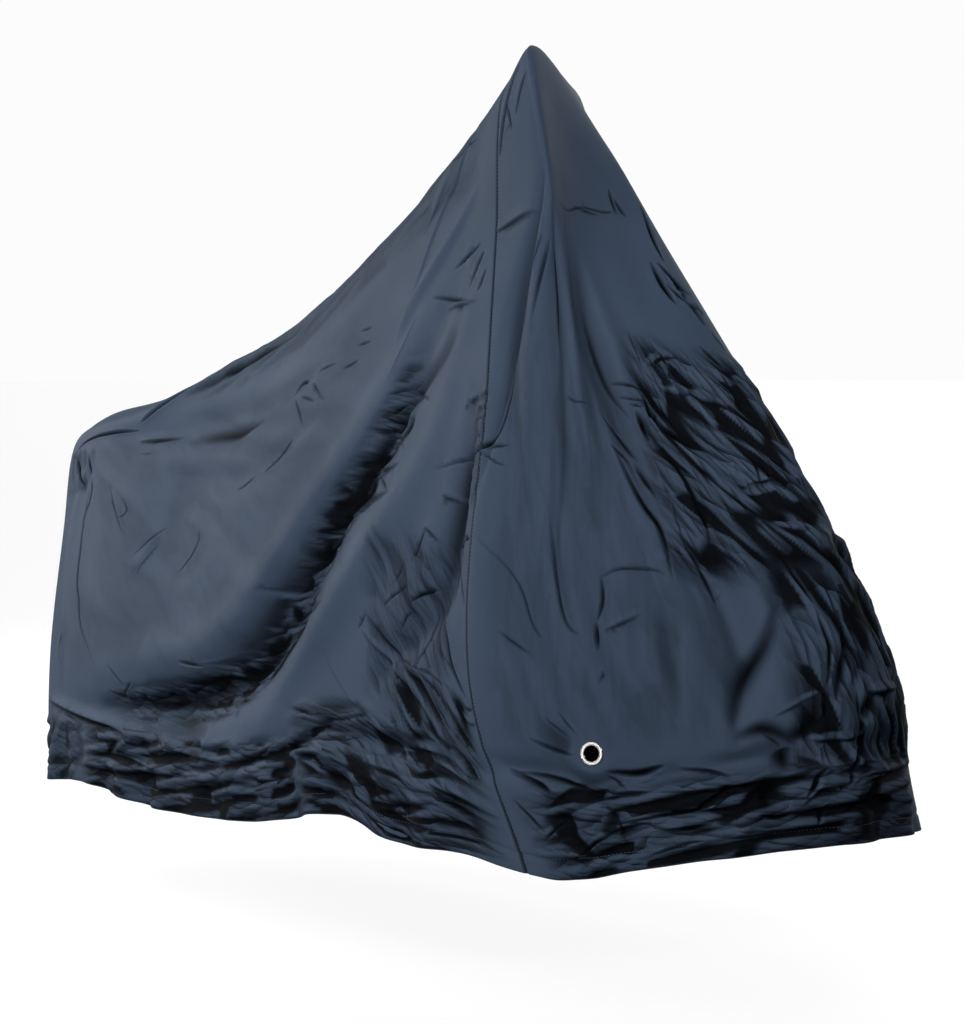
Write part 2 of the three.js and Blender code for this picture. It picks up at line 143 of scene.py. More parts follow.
# Single creases read off the cloth, by region: kind (line is a sharp valley, ridge a sharp crest, tuck
# a step whose left-hand side stands proud, soft a round fold), half width and depth in mm, then the
# path's places (girth, drop) in thousandths.
# Lines, tucks and sunken soft folds also lay painted shade into the cloth's colour.
CREASES = [
    # tail and rack
    ("line", 3.5, 6, (785, 280), (815, 275), (845, 285), (870, 305), (890, 335)),
    ("line", 5.5, 11, (782, 250), (757, 212), (735, 190), (705, 165)),
    ("tuck", 15, 6, (785, 317), (750, 327), (712, 338)),
    ("soft", 17, -10, (695, 360), (640, 366), (600, 370), (565, 365)),
    ("line", 2.5, 2.5, (768, 365), (757, 368), (746, 370)),
    ("line", 5.5, 11, (888, 350), (872, 405), (852, 450)),
    ("line", 3.5, 5, (857, 365), (850, 390), (843, 415)),
    ("line", 3, 5, (842, 420), (836, 470), (845, 530)),
    ("tuck", 15, 6, (803, 450), (788, 487), (761, 550)),
    ("line", 2.5, 3.5, (777, 472), (765, 500), (775, 517)),
    ("line", 4, 5, (842, 450), (840, 550), (830, 640), (821, 670), (808, 720), (765, 800)),
    ("soft", 22, 7, (865, 450), (865, 600), (850, 700), (840, 820)),
    ("line", 3, 5, (842, 735), (847, 760), (853, 790)),
    ("line", 2.5, 2.5, (693, 548), (715, 565), (737, 597)),
    ("tuck", 12, -4, (698, 562), (714, 600), (737, 648)),
    ("line", 3, 3.5, (636, 560), (642, 600), (663, 640)),
    ("line", 3.5, 4, (590, 497), (577, 491), (562, 483)),
    ("line", 3.5, 4, (552, 486), (535, 475), (515, 462)),
    ("line", 2.5, 2.5, (745, 790), (730, 810), (716, 830)),
    # seat and belly
    ("line", 4, 7, (527, 358), (518, 349), (508, 360)),
    ("line", 3, 3.5, (522, 375), (514, 410), (504, 455)),
    ("line", 3, 3.5, (514, 383), (505, 400), (494, 422)),
    ("tuck", 12, 4, (502, 372), (494, 395), (483, 435)),
    ("line", 2.5, 3.5, (497, 360), (487, 366), (474, 377)),
    ("line", 3, 3.5, (453, 372), (445, 378), (434, 386)),
    ("line", 2.5, 3.5, (452, 345), (444, 352), (436, 357)),
    ("line", 3, 3.5, (467, 398), (458, 404), (447, 407)),
    ("ridge", 3.5, 2, (372, 370), (388, 425), (402, 470)),
    ("ridge", 5.5, 4, (314, 138), (344, 218), (370, 278), (392, 378)),
    ("ridge", 4, 3, (332, 158), (366, 218), (386, 258)),
    ("line", 3.5, 5.5, (356, 362), (326, 378), (288, 398)),
    ("line", 4.5, 7.5, (282, 335), (290, 348), (302, 372)),
    ("soft", 15, 7, (300, 250), (345, 300), (380, 350), (400, 410)),
    ("line", 3.5, 5, (312, 185), (335, 175), (362, 165)),
    ("line", 3.5, 5, (382, 208), (392, 212), (405, 216)),
    ("line", 4, 6, (328, 337), (310, 330), (288, 323)),
    ("line", 3.5, 5, (287, 385), (282, 372), (277, 360)),
    ("tuck", 10, 3.5, (337, 385), (312, 390), (287, 397)),
    # long trough
    ("tuck", 14, -5.5, (380, 486), (365, 493), (346, 502)),
    ("line", 4.5, 7.5, (378, 495), (393, 508), (408, 523)),
    ("tuck", 10, -4, (402, 533), (388, 545), (372, 563)),
    ("line", 3, 5, (402, 546), (394, 543), (384, 547)),
    ("soft", 12, -9, (365, 520), (375, 535), (385, 550)),
    ("tuck", 12, -5.5, (417, 578), (398, 587), (376, 577)),
    ("line", 3, 5, (403, 592), (394, 600), (383, 610)),
    ("tuck", 15, -9, (480, 643), (440, 633), (410, 622), (378, 610)),
    ("line", 3.5, 6, (472, 647), (445, 647), (420, 640)),
    ("ridge", 3, 3, (468, 647), (442, 680), (422, 695)),
    ("soft", 16, -16, (488, 665), (478, 660), (468, 672)),
    ("ridge", 3, 3, (487, 683), (477, 695), (464, 712)),
    ("tuck", 12, -4.5, (525, 690), (495, 703), (462, 712)),
    ("tuck", 12, 4, (480, 735), (462, 740), (444, 733)),
    ("tuck", 12, -4, (530, 735), (505, 745), (475, 742)),
    ("soft", 22, -16, (510, 725), (525, 760), (550, 790), (575, 810)),
    ("ridge", 3, 3, (608, 785), (580, 778), (552, 765)),
    ("ridge", 3, 3, (606, 788), (570, 788), (535, 790)),
    ("ridge", 3.5, 4, (603, 795), (575, 820), (537, 848)),
    ("ridge", 3, 3, (602, 810), (590, 835), (573, 863)),
    ("line", 3.5, 6, (635, 784), (620, 786), (603, 788)),
    ("line", 4.5, 8.5, (590, 800), (565, 810), (535, 815)),
    ("line", 4, 7, (560, 770), (535, 775), (505, 772)),
    ("soft", 23, -14, (315, 420), (338, 454), (378, 498), (404, 546), (428, 590), (452, 630), (478, 670),
     (506, 710), (538, 754), (598, 806), (664, 842)),
    ("soft", 26, -16, (500, 760), (560, 805), (620, 832), (690, 852), (760, 864)),
    ("soft", 13, -8, (720, 205), (660, 182), (594, 160), (530, 170)),
    # thigh
    ("line", 5, 8.5, (320, 697), (335, 708), (348, 724)),
    ("line", 3.5, 6, (345, 728), (352, 740), (359, 758)),
    ("line", 3.5, 6, (350, 703), (362, 718), (377, 738)),
    ("line", 2.5, 4, (354, 678), (361, 695), (369, 714)),
    ("line", 4, 7, (326, 720), (324, 755), (336, 793)),
    ("line", 5, 8.5, (320, 712), (298, 733), (290, 757), (273, 780)),
    ("line", 3, 5, (396, 747), (399, 757), (404, 768)),
    ("line", 3.5, 6, (397, 748), (372, 775), (348, 803)),
    ("tuck", 17, 8, (400, 768), (370, 795), (350, 813), (330, 833), (305, 860)),
    ("tuck", 14, 6, (338, 787), (310, 802), (287, 830)),
    ("line", 3, 4, (307, 756), (298, 758), (287, 763)),
    ("ridge", 3, 3, (441, 785), (437, 815), (420, 845), (403, 872), (382, 905)),
    ("tuck", 15, 7, (467, 873), (435, 880), (397, 866)),
    ("line", 3.5, 7, (487, 863), (475, 870), (458, 882)),
    ("line", 4.5, 7.5, (335, 643), (340, 660), (348, 680)),
    ("tuck", 12, 4, (337, 640), (328, 643), (318, 652)),
    # side hem
    ("tuck", 17, 7.5, (404, 868), (375, 885), (348, 907)),
    ("tuck", 17, 8, (367, 897), (325, 885), (293, 890)),
    ("tuck", 17, 8, (408, 925), (370, 920), (343, 926)),
    ("ridge", 3, 3, (427, 933), (412, 942), (393, 952)),
    ("tuck", 17, 8, (327, 922), (300, 928), (273, 932)),
    ("tuck", 17, 7, (397, 965), (360, 955), (310, 944)),
    ("line", 4, 7, (388, 974), (365, 968), (338, 960)),
    ("tuck", 15, 7, (352, 965), (325, 965), (297, 960)),
    ("line", 4, 7, (342, 983), (310, 982), (275, 984)),
    ("tuck", 14, 5.5, (478, 932), (467, 942), (453, 957)),
    ("line", 4, 7, (517, 903), (490, 913), (462, 914)),
    ("line", 5, 9.5, (485, 925), (472, 927), (456, 928)),
    ("soft", 16, -13, (458, 953), (438, 960), (412, 966)),
    ("line", 4.5, 8.5, (430, 955), (415, 968), (400, 980)),
    ("tuck", 22, 9.5, (890, 856), (840, 868), (790, 885), (750, 893), (710, 902), (675, 912)),
    ("ridge", 3, 3, (722, 860), (695, 882), (673, 906)),
    ("ridge", 4.5, 3, (706, 818), (690, 850), (676, 880), (658, 918)),
    ("line", 3, 5, (709, 818), (717, 832), (727, 852)),
    ("line", 3, 5, (742, 833), (729, 843), (713, 855)),
    ("soft", 34, -14, (690, 825), (650, 865), (600, 885)),
    ("tuck", 17, 7.5, (668, 914), (620, 918), (567, 926)),
    ("tuck", 15, 6, (718, 934), (690, 942), (657, 946)),
    ("tuck", 17, 7, (703, 956), (655, 950), (607, 944)),
    ("ridge", 3, 3, (757, 943), (737, 954), (713, 967)),
    ("tuck", 15, 6, (603, 970), (560, 965), (517, 968)),
    ("tuck", 14, 5.5, (555, 935), (535, 945), (513, 957)),
    ("line", 4, 7, (545, 958), (520, 950), (497, 948)),
    ("line", 3, 5, (828, 884), (815, 889), (798, 897)),
    # seam
    ("line", 5, 9.5, (238, 440), (240, 490), (244, 520), (250, 545), (262, 560), (280, 567), (300, 572),
     (330, 580)),
    ("soft", 15, -7, (278, 530), (290, 575), (301, 620), (311, 665), (322, 715)),
    ("line", 3, 5, (262, 562), (250, 558), (238, 553)),
    ("line", 2.5, 4, (267, 566), (255, 570), (238, 573)),
    ("tuck", 8, 3.5, (280, 536), (274, 534), (267, 535)),
    ("tuck", 8, 3.5, (285, 557), (276, 551), (267, 547)),
    ("tuck", 8, 2.5, (280, 526), (274, 524), (268, 522)),
    ("tuck", 10, 3.5, (297, 521), (288, 515), (278, 511)),
    ("tuck", 8, 2.5, (273, 514), (268, 511), (262, 508)),
    ("line", 4.5, 7, (294, 573), (297, 597), (301, 625)),
    ("tuck", 12, 4, (319, 605), (310, 607), (298, 610)),
    ("ridge", 3, 2, (312, 622), (300, 628), (284, 636)),
    ("line", 5.5, 9.5, (307, 652), (290, 641), (270, 637)),
    ("line", 3.5, 5, (286, 660), (280, 675), (270, 690)),
    ("line", 3.5, 5, (284, 790), (275, 793), (266, 787)),
    ("tuck", 10, 3.5, (285, 805), (275, 808), (266, 803)),
    # apex and brow
    ("line", 6.5, 11, (234, 160), (247, 178), (256, 205), (262, 240)),
    ("line", 4, 7, (224, 184), (233, 202), (240, 220)),
    ("line", 3.5, 5, (251, 195), (248, 212), (245, 230)),
    ("ridge", 6.5, 3, (226, 100), (216, 200), (209, 280), (206, 340)),
    ("tuck", 12, 4, (268, 317), (250, 320), (226, 322)),
    ("tuck", 8, 3.5, (157, 207), (135, 186), (110, 166)),
    ("line", 3, 4.5, (185, 262), (142, 190), (100, 150), (82, 134)),
    ("line", 4.5, 7, (14, 90), (24, 142), (26, 194)),
    ("line", 3.5, 5, (85, 100), (80, 115), (74, 132)),
    ("line", 3.5, 5, (75, 108), (67, 117), (58, 126)),
    ("line", 5.5, 9, (46, 202), (45, 242), (40, 274)),
    ("line", 6, 10, (30, 214), (22, 262), (16, 302)),
    ("line", 5, 8, (36, 338), (26, 354), (14, 370)),
    ("ridge", 3, 3, (41, 198), (40, 222), (40, 250)),
    ("line", 5.5, 8.5, (36, 198), (26, 225), (13, 255)),
    ("line", 4, 7, (41, 240), (28, 262), (13, 288)),
    ("tuck", 12, 4.5, (32, 250), (20, 265), (6, 282)),
    ("line", 3.5, 5, (12, 312), (8, 325), (4, 340)),
    ("line", 3, 3.5, (106, 340), (103, 365), (100, 390)),
    ("line", 4, 5, (157, 330), (148, 380), (138, 420), (122, 455)),
    ("line", 2.5, 3.5, (186, 470), (175, 465), (160, 450)),
    ("line", 4.5, 6, (214, 345), (226, 390), (234, 440)),
    ("line", 3.5, 5, (209, 345), (215, 385), (220, 430)),
    ("line", 3.5, 4, (204, 345), (200, 390), (198, 440)),
    ("soft", 12, -2.6, (204, 300), (198, 430), (195, 640)),
    ("soft", 12, -3, (213, 280), (237, 400), (247, 480), (262, 600)),
    ("soft", 14, -3.4, (175, 250), (150, 380), (130, 480), (105, 640)),
    # cheek
    ("line", 3.5, 5, (138, 410), (115, 413), (93, 415)),
    ("line", 3, 4, (133, 426), (115, 430), (98, 431)),
    ("tuck", 14, 6, (97, 386), (80, 370), (58, 361)),
    ("ridge", 3, 3, (87, 402), (66, 380), (33, 375)),
    ("tuck", 15, 7.5, (92, 410), (62, 412), (38, 424), (23, 442)),
    ("line", 4, 7, (106, 418), (105, 435), (105, 455)),
    ("line", 3, 5, (122, 435), (115, 437), (107, 440)),
    ("line", 5, 9.5, (116, 443), (113, 460), (109, 480)),
    ("line", 6, 11, (107, 443), (90, 465), (73, 484)),
    ("line", 4, 7.5, (112, 472), (95, 505), (85, 550), (82, 590), (83, 630)),
    ("ridge", 3.5, 3, (96, 483), (84, 520), (79, 560), (78, 600)),
    ("line", 3, 4, (106, 530), (102, 565), (99, 605)),
    ("line", 3.5, 6, (150, 455), (135, 480), (122, 505)),
    ("line", 5, 9.5, (141, 495), (126, 550), (115, 582), (112, 640)),
    ("line", 4, 7, (127, 505), (120, 525), (111, 548)),
    ("line", 3.5, 5, (145, 490), (137, 498), (128, 510)),
    ("line", 4.5, 7.5, (77, 502), (61, 535), (45, 560), (28, 567)),
    ("ridge", 3, 3, (49, 472), (50, 497), (53, 525)),
    ("line", 3, 5, (36, 487), (36, 505), (36, 525)),
    ("line", 3, 5, (30, 487), (29, 505), (30, 522)),
    ("tuck", 14, -6, (53, 531), (36, 522), (18, 514)),
    ("line", 4.5, 7.5, (22, 487), (15, 500), (6, 515)),
    ("line", 4.5, 8.5, (56, 538), (38, 560), (18, 567)),
    ("line", 3, 5, (67, 542), (64, 556), (62, 575)),
    ("tuck", 12, 5.5, (40, 572), (26, 575), (10, 580)),
    ("line", 4, 7, (100, 600), (93, 630), (88, 665)),
    ("ridge", 3, 3.5, (95, 645), (88, 655), (78, 635)),
    # nose
    ("line", 4, 7, (40, 610), (36, 640), (31, 670)),
    ("ridge", 3, 3, (54, 673), (43, 671), (30, 669)),
    ("ridge", 3, 3.5, (54, 692), (58, 712), (63, 738)),
    ("soft", 13, -15, (50, 664), (64, 710), (76, 738), (86, 770), (91, 815)),
    ("soft", 10, -9, (90, 832), (72, 823), (50, 850)),
    ("soft", 10, -10, (14, 700), (24, 754), (32, 800)),
    ("line", 3.5, 5, (74, 826), (68, 838), (61, 852)),
    ("soft", 15, -11, (62, 855), (60, 870), (58, 890)),
    ("soft", 17, -14, (57, 845), (48, 833), (38, 818)),
    ("line", 5, 9.5, (36, 780), (36, 797), (36, 815)),
    ("tuck", 10, 3.5, (66, 806), (53, 793), (39, 779)),
    ("line", 4.5, 7.5, (30, 680), (30, 730), (36, 780)),
    ("line", 4, 7, (21, 685), (18, 730), (15, 775)),
    ("line", 4, 7, (12, 690), (8, 720), (3, 750)),
    ("tuck", 17, 7.5, (7, 785), (-10, 787), (-32, 785)),
    ("soft", 13, -15, (11, 825), (6, 808), (0, 788)),
    ("tuck", 14, 6, (47, 845), (25, 850), (6, 845)),
    ("line", 6, 12, (21, 920), (13, 885), (4, 857)),
    ("line", 6, 11, (46, 928), (41, 908), (34, 888)),
    ("line", 5, 9.5, (38, 968), (36, 955), (32, 938)),
    ("line", 3.5, 5, (12, 906), (-3, 903), (-22, 905)),
    ("line", 4, 7, (22, 957), (13, 950), (3, 945)),
    ("tuck", 15, 7, (103, 893), (88, 897), (73, 894)),
    ("ridge", 3, 3.5, (108, 932), (92, 907), (73, 893)),
    ("soft", 14, -13, (74, 925), (66, 920), (55, 928)),
    ("line", 4.5, 8.5, (75, 945), (64, 952), (50, 950)),
    # lock and front hem
    ("line", 5.5, 10, (250, 857), (228, 880), (213, 897)),
    ("line", 4.5, 8.5, (243, 861), (205, 878), (173, 899)),
    ("tuck", 15, 7, (178, 900), (160, 892), (138, 893)),
    ("line", 6, 12, (170, 861), (150, 866), (133, 859)),
    ("line", 3, 5, (170, 866), (164, 877), (157, 892)),
    ("ridge", 3, 3, (160, 881), (150, 879), (138, 874)),
    ("line", 3.5, 6, (176, 902), (167, 930), (162, 972)),
    ("line", 4.5, 7.5, (167, 936), (138, 930), (115, 930), (88, 936)),
    ("line", 3.5, 7, (212, 976), (185, 956), (158, 939)),
    ("tuck", 17, 7.5, (147, 951), (120, 949), (97, 944)),
    ("line", 2.5, 4, (227, 911), (213, 905), (198, 899)),
    ("line", 3.5, 6, (237, 952), (226, 940), (213, 928)),
    ("line", 3.5, 6, (254, 897), (244, 918), (231, 943)),
    ("tuck", 14, 6, (124, 864), (105, 873), (88, 887)),
    ("line", 5, 9.5, (118, 932), (105, 917), (90, 898)),
    ("line", 4, 7, (148, 986), (130, 978), (110, 974)),
    ("line", 3.5, 5, (240, 708), (227, 720), (213, 732)),
    ("line", 3, 4, (260, 632), (225, 665), (212, 703), (202, 717)),
    ("line", 3.5, 5, (201, 595), (195, 645), (187, 690), (176, 701)),
    ("line", 3.5, 6, (160, 635), (160, 660), (164, 683)),
    ("line", 3.5, 5, (162, 640), (150, 628), (137, 625), (125, 627), (113, 637)),
    ("tuck", 12, 4.5, (162, 692), (150, 683), (135, 670)),
    ("line", 3.5, 7, (165, 683), (165, 698), (165, 713)),
    ("line", 2.5, 4, (163, 733), (163, 740), (166, 747)),
    ("line", 4.5, 6, (222, 822), (205, 836), (190, 840)),
    ("soft", 22, -8, (215, 810), (200, 825), (190, 830)),
    ("line", 2.5, 3.5, (207, 797), (200, 808), (190, 822)),
    ("line", 2.5, 3.5, (197, 787), (192, 800), (185, 815)),
    ("soft", 18, 6, (150, 660), (144, 750), (140, 840)),
    ("soft", 16, -6, (128, 650), (125, 720), (122, 800)),
]

CREASE_STEPS = 20


class Zone(NamedTuple):
    """A zone of crumpled cloth, in facets that overlap downward."""

    name: str
    girth_from: float
    girth_to: float
    drop_from: float
    drop_to: float
    length: float  # of a facet, in mm
    width: float  # of a facet, in mm
    fall: float  # of a facet in degrees, positive towards the tail
    height: float  # in mm


CRUMPLES = [
    Zone("side hem", 0.268, 0.5, 0.85, 1.03, 90, 25, -8, 13.0),
    Zone("side hem back", 0.45, 0.8, 0.885, 1.03, 105, 30, 6, 11.0),
    Zone("seam foot", 0.27, 0.37, 0.78, 0.9, 95, 24, -40, 9.0),
    Zone("front hem", -0.1, 0.264, 0.87, 1.02, 80, 26, 4, 11.0),
    Zone("cheek", -0.08, 0.128, 0.33, 0.66, 85, 28, -52, 8.0),
    Zone("nose", -0.09, 0.065, 0.56, 0.92, 110, 36, -70, 9.5),
    Zone("seam puckers", 0.262, 0.29, 0.5, 0.62, 36, 12, 8, 3.8),
    Zone("trough", 0.34, 0.76, 0.4, 0.92, 74, 22, 4, 7.8),
    Zone("tail hem", 0.76, 1.06, 0.88, 1.03, 80, 30, 0, 6.0),
    Zone("tail corner", 0.84, 0.91, 0.33, 0.47, 45, 18, -60, 4.0),
    Zone("thigh", 0.29, 0.4, 0.64, 0.86, 90, 26, -50, 5.2),
    Zone("brow", 0.07, 0.26, 0.4, 0.86, 150, 45, -78, 3.6),
    Zone("belly", 0.4, 0.88, 0.26, 0.84, 190, 70, -30, 3.0),
    Zone("crest", 0.28, 0.74, 0.08, 0.26, 110, 30, 8, 3.8),
    Zone("left", 1.08, 1.76, 0.2, 0.9, 260, 110, 75, 4.2),
    Zone("left front", 1.76, 1.97, 0.4, 0.92, 150, 52, -78, 5.6),
    Zone("left hem", 1.06, 1.9, 0.87, 1.03, 110, 34, 0, 8.0),
]
# Zones with large or low facets, which do with coarser cells.
COARSE_ZONES = ("brow", "belly", "crest", "left", "left front", "left hem")
ZONE_EDGE = 0.7  # share of a zone's half size from which it fades out
TROUGH_BAND = (0.5, 1.1)  # the trough's zone fades out between these shares of the long trough's half width
CHART_PROBE = 0.01  # how far from a zone's middle its chart is measured
CHART_STEP = 40  # keeps the charts of the zones apart
CRUMPLE_SEED = 7
# Each row of facets has two rows of corners: how far down the first of them, lowest and highest level.
FACET_ROWS = ((0.0, 0.1, 1.0), (0.36, -1.0, 0.0))
FACET_STRAY = (0.35, 0.14)  # how far a corner strays along and across its row
FACET_CELL = 2  # cells this many of the finest wide carry the facets, and twice this in coarse zones
FACET_SAMPLES = ((0, 0), (-1, -1), (1, -1), (-1, 1), (1, 1))
# The shade in crumpled zones is painted shade, laid into the cloth's colour.
FACET_SHADE = 7 * MM  # height from which the low side of a facet lies in full shade
FACET_LOW = (-0.3, 0.25)  # depth under the middle level where the shade starts, and where it is full
FACET_DUSK = 0.36  # shade of all the cloth in such a zone

# Cells of the two panels: finest columns on the right from the seam to the nose or tail, and finest rows
# from spine to hem. A cell starts COARSE of these wide and is halved where a fold or crease needs it.
FRONT_GRID = (344, 656)
REAR_GRID = (800, 480)
COARSE = 8
CELL = 1.65 * MM
STEP = 1.5 * MM  # how sharply a tuck drops
SEAM_GROOVE = 4.5 * MM
SEAM_REACH = 3.6 * MM
# Painted shade in the seam's groove.
SEAM_SHADE = 0.9
HEM_LINE = 0.976
HEM_GROOVE = 1.8 * MM
HEM_GROOVE_DROP = 0.003
HEM_HOLD = 0.4  # share of the creases that the hem's elastic pulls flat
HEM_SAG = 24 * MM  # how far the side hem hangs lower behind the seam
SAG_IN, SAG_OUT = (0.27, 0.36), (0.37, 0.45)  # girths over which that begins and ends
SAG_START = 0.8  # drop from which it does so
LAP_GIRTH = 0.0028  # how far the rear panel runs on under the front one
LAP_DEPTH = 1.8 * MM
LAP_EDGE = (-0.0004, 0.0008)
SPINE_CALM = 0.06  # drop above which the folds fade out towards the spine
HEM_ROLL_ANGLES = (35, 75, 105, 145, 180)
HEM_TURN_SHARES = (0.35, 1.0)
HEM_TURN_GAP = 2.2  # of the hem's half thickness, from the cloth to its turned-in edge

# Rings of one stitch: place along it, thickness and lift, as shares of its length and of half the thread.
STITCH_RINGS = [(-0.5, 0.35, -0.3), (-0.34, 0.9, 0.1), (0.0, 1.0, 0.3), (0.34, 0.9, 0.1), (0.5, 0.35, -0.3)]
STITCH_SIDES = 6
SEWN_IN = 0.0016  # girth from the seam to its stitches
HEM_SEWN_IN = 0.002  # girth from the seam to the first stitch of the hem

# Rolls of the eyelet: in from its rim, half thickness and lift in mm, and how much it is flattened.
EYELET_ROLLS = [(1.3, 1.3, 0.9, 1.0), (3.0, 2.0, 0.9, 0.4), (4.8, 1.2, 1.3, 1.0), (3.0, 2.9, -1.6, 0.4)]
EYELET_TUBE = (5.4 * MM, 3.4 * MM)  # in from the rim, and length
EYELET_SEGMENTS = (72, 20)

# Shards, the finest facets, drawn on the chart of a zone as bump and painted shade: turn in degrees, scale
# along and across.
LARGE_SHARDS = (-8, (0.36, 1.4, 0))
SMALL_SHARDS = (12, (0.62, 2.9, 0))
SHARD_STRETCH = (3.3, 1, 0)  # from the chart to a scale that is even along and across
SHARD_SWAY = (0.9, 0.9, 0)  # how far noise moves their edges
SHARD_TILT = (0.5, 0.8, 0.5)  # taken off each one's random lean, so that most fall the same way

# Area lights: name, size, place, target and spread in degrees.
LIGHTS = [
    ("top", 8.0, (0.4, -1.0, 4.4), (0.2, -0.3, 0), 180),
    ("key", 2.4, (-5.2, -0.8, 1.1), (-0.4, 0, -0.5), 180),
    ("fill", 3.0, (0.8, -5.4, 0.2), (0.1, 0, -0.5), 180),
    ("nose", 2.4, (4.2, -1.4, 1.8), (0.2, -0.1, 0.1), 24),
    ("tail", 2.0, (-5.0, -1.6, 0.6), (-1.3, 0, -0.8), 30),
]
# The even light from the left: place, target and apparent size in degrees.
LEFT_LIGHT = ((-2.0, 5.0, 1.2), (-0.3, 0, -0.7))
LEFT_ANGLE = 70
FLOOR_SIZE = 400
FLOOR_GLOW = 0.85
FRAME_WIDTH = 36


class CoverSizes(PropertyGroup):
    hem_roll: FloatProperty(name="Hem roll", description="Half thickness of the hem round its elastic",
                            default=2.6 * MM, unit="LENGTH")
    hem_turn: FloatProperty(name="Hem turn", description="Height of the cloth turned in behind the hem",
                            default=22 * MM, unit="LENGTH")
    stitch: FloatProperty(name="Stitch", description="Length of one stitch",
                          default=4.2 * MM, unit="LENGTH")
    stitch_step: FloatProperty(name="Stitch step", description="From one stitch to the next",
                               default=6.0 * MM, unit="LENGTH")
    thread: FloatProperty(name="Thread", description="Thickness of the thread",
                          default=0.9 * MM, unit="LENGTH")
    eyelet: FloatProperty(name="Eyelet", description="Outer diameter of the eyelet",
                          default=35 * MM, unit="LENGTH")
    hole: FloatProperty(name="Hole", description="Radius of the hole under the eyelet's flange",
                        default=14.0 * MM, unit="LENGTH")


class CoverColours(PropertyGroup):
    cloth: FloatVectorProperty(name="Cloth", description="Dark navy of the coated cloth",
                               default=(0.0262, 0.0405, 0.0655), subtype="COLOR", min=0, max=1)
    cloth_worn: FloatVectorProperty(name="Rubbed cloth", description="Paler tone of rubbed patches",
                                    default=(0.0320, 0.0468, 0.0735), subtype="COLOR", min=0, max=1)
    # Painted shade: the near-black mixed into the cloth's colour where shade falls, in creases, on the low
    # sides of facets and along the seam.
    crease: FloatVectorProperty(name="Crease", description="Cloth deep in a crease",
                                default=(0.0010, 0.0014, 0.0022), subtype="COLOR", min=0, max=1)
    thread: FloatVectorProperty(name="Thread", description="Sewing thread",
                                default=(0.010, 0.014, 0.022), subtype="COLOR", min=0, max=1)
    metal: FloatVectorProperty(name="Metal", description="Nickel of the eyelet",
                               default=(0.17, 0.168, 0.164), subtype="COLOR", min=0, max=1)
    floor: FloatVectorProperty(name="Floor", description="Pale studio floor",
                               default=(0.14, 0.14, 0.14), subtype="COLOR", min=0, max=1)


class CoverStage(PropertyGroup):
    camera_place: FloatVectorProperty(name="Camera", description="Place of the camera",
                                      default=(3.738, -3.343, -0.457), subtype="TRANSLATION")
    camera_azimuth: FloatProperty(name="Azimuth", description="Turn of the camera about the cover, degrees",
                                  default=49.5)
    camera_pitch: FloatProperty(name="Pitch", description="Tilt of the camera below level, degrees",
                                default=2.616)
    camera_lens: FloatProperty(name="Lens", description="Focal length for a 36 mm frame, mm",
                               default=109.27)
    top_power: FloatProperty(name="Top light", description="Power of the wide light overhead, W",
                             default=60.0)
    key_power: FloatProperty(name="Key light", description="Power of the light from the tail, W",
                             default=130.0)
    fill_power: FloatProperty(name="Fill light", description="Power of the light from the right, W",
                              default=322.0)
    nose_power: FloatProperty(name="Nose light", description="Power of the light from the nose, W",
                              default=16.0)
    tail_power: FloatProperty(name="Tail light", description="Power of the light on the tail, W",
                              default=11.0)
    left_power: FloatProperty(name="Left light", description="Strength of the even light from the left",
                              default=2.4)
    sky: FloatProperty(name="Sky", description="Brightness of the backdrop", default=0.975)


def settings():
    scene = bpy.context.scene
    return scene.cover_sizes, scene.cover_colours, scene.cover_stage


# Smooth cloth


def smoothstep(low, high, x):
    t = np.clip((np.asarray(x, float) - low) / (high - low), 0.0, 1.0)
    return t * t * (3.0 - 2.0 * t)


def rib_ring():
    """The closed ring of ribs: places round the cover, places down it, and the ribs' points."""
    right = np.array([row[3:] for row in RIBS], float) * MM
    right[:, :, 2] -= REST_HEIGHT
    turn = np.array([row[1] for row in RIBS])
    shift = np.array([row[2:] for row in STATIONS], float) * MM
    left = right * (1, -1, 1)
    left[:, :, 0] -= np.outer(turn, shift[:, 0])
    left[:, :, 1] += np.outer(turn, shift[:, 1])
    left[:, :, 2] -= np.outer(turn, shift[:, 2])
    girths = np.array([row[2] for row in RIBS])
    own = np.concatenate([right, left[-2:0:-1]])
    other = np.concatenate([left, right[-2:0:-1]])
    points = np.concatenate([other[:, 1:2], own, 2 * own[:, 5:6] - own[:, 4:5]], axis=1)
    places = np.concatenate([girths, 2 - girths[-2:0:-1]])
    places = np.concatenate([places - 2, places, places + 2])
    drops = np.array([row[1] for row in STATIONS])
    drops = np.concatenate([[-drops[1]], drops, [2 * drops[5] - drops[4]]])
    return places, drops, np.concatenate([points] * 3)


RING_GIRTHS, RING_DROPS, RING_POINTS = rib_ring()


def knot_shares(places, at):
    """First of the four knots round each value, and the share of each in a smooth curve through them."""
    i = np.clip(np.searchsorted(places, at, side="right") - 1, 1, len(places) - 3)
    before, here, there, after = (places[i + k] for k in (-1, 0, 1, 2))
    span = there - here
    s = (at - here) / span
    lean_a = (s**3 - 2 * s**2 + s) * span / (there - before)
    lean_b = (s**3 - s**2) * span / (after - here)
    rise = 3 * s**2 - 2 * s**3
    return i - 1, np.stack([-lean_a, 1 - rise - lean_b, rise + lean_a, lean_b], axis=1)


def smooth_cloth(girth, drop):
    """Points of the smooth cloth at places (girth, drop); a drop below zero is on the other side."""
    girth, drop = np.broadcast_arrays(np.asarray(girth, float), np.asarray(drop, float))
    girth = np.mod(np.where(drop < 0, -girth, girth), 2.0)
    g, g_share = knot_shares(RING_GIRTHS, girth)
    d, d_share = knot_shares(RING_DROPS, np.abs(drop))
    four = np.arange(4)
    knots = RING_POINTS[g[:, None, None] + four[:, None], d[:, None, None] + four]
    return np.einsum("na,nb,nabx->nx", g_share, d_share, knots)


def unit(vectors):
    return vectors / np.linalg.norm(vectors, axis=-1, keepdims=True)


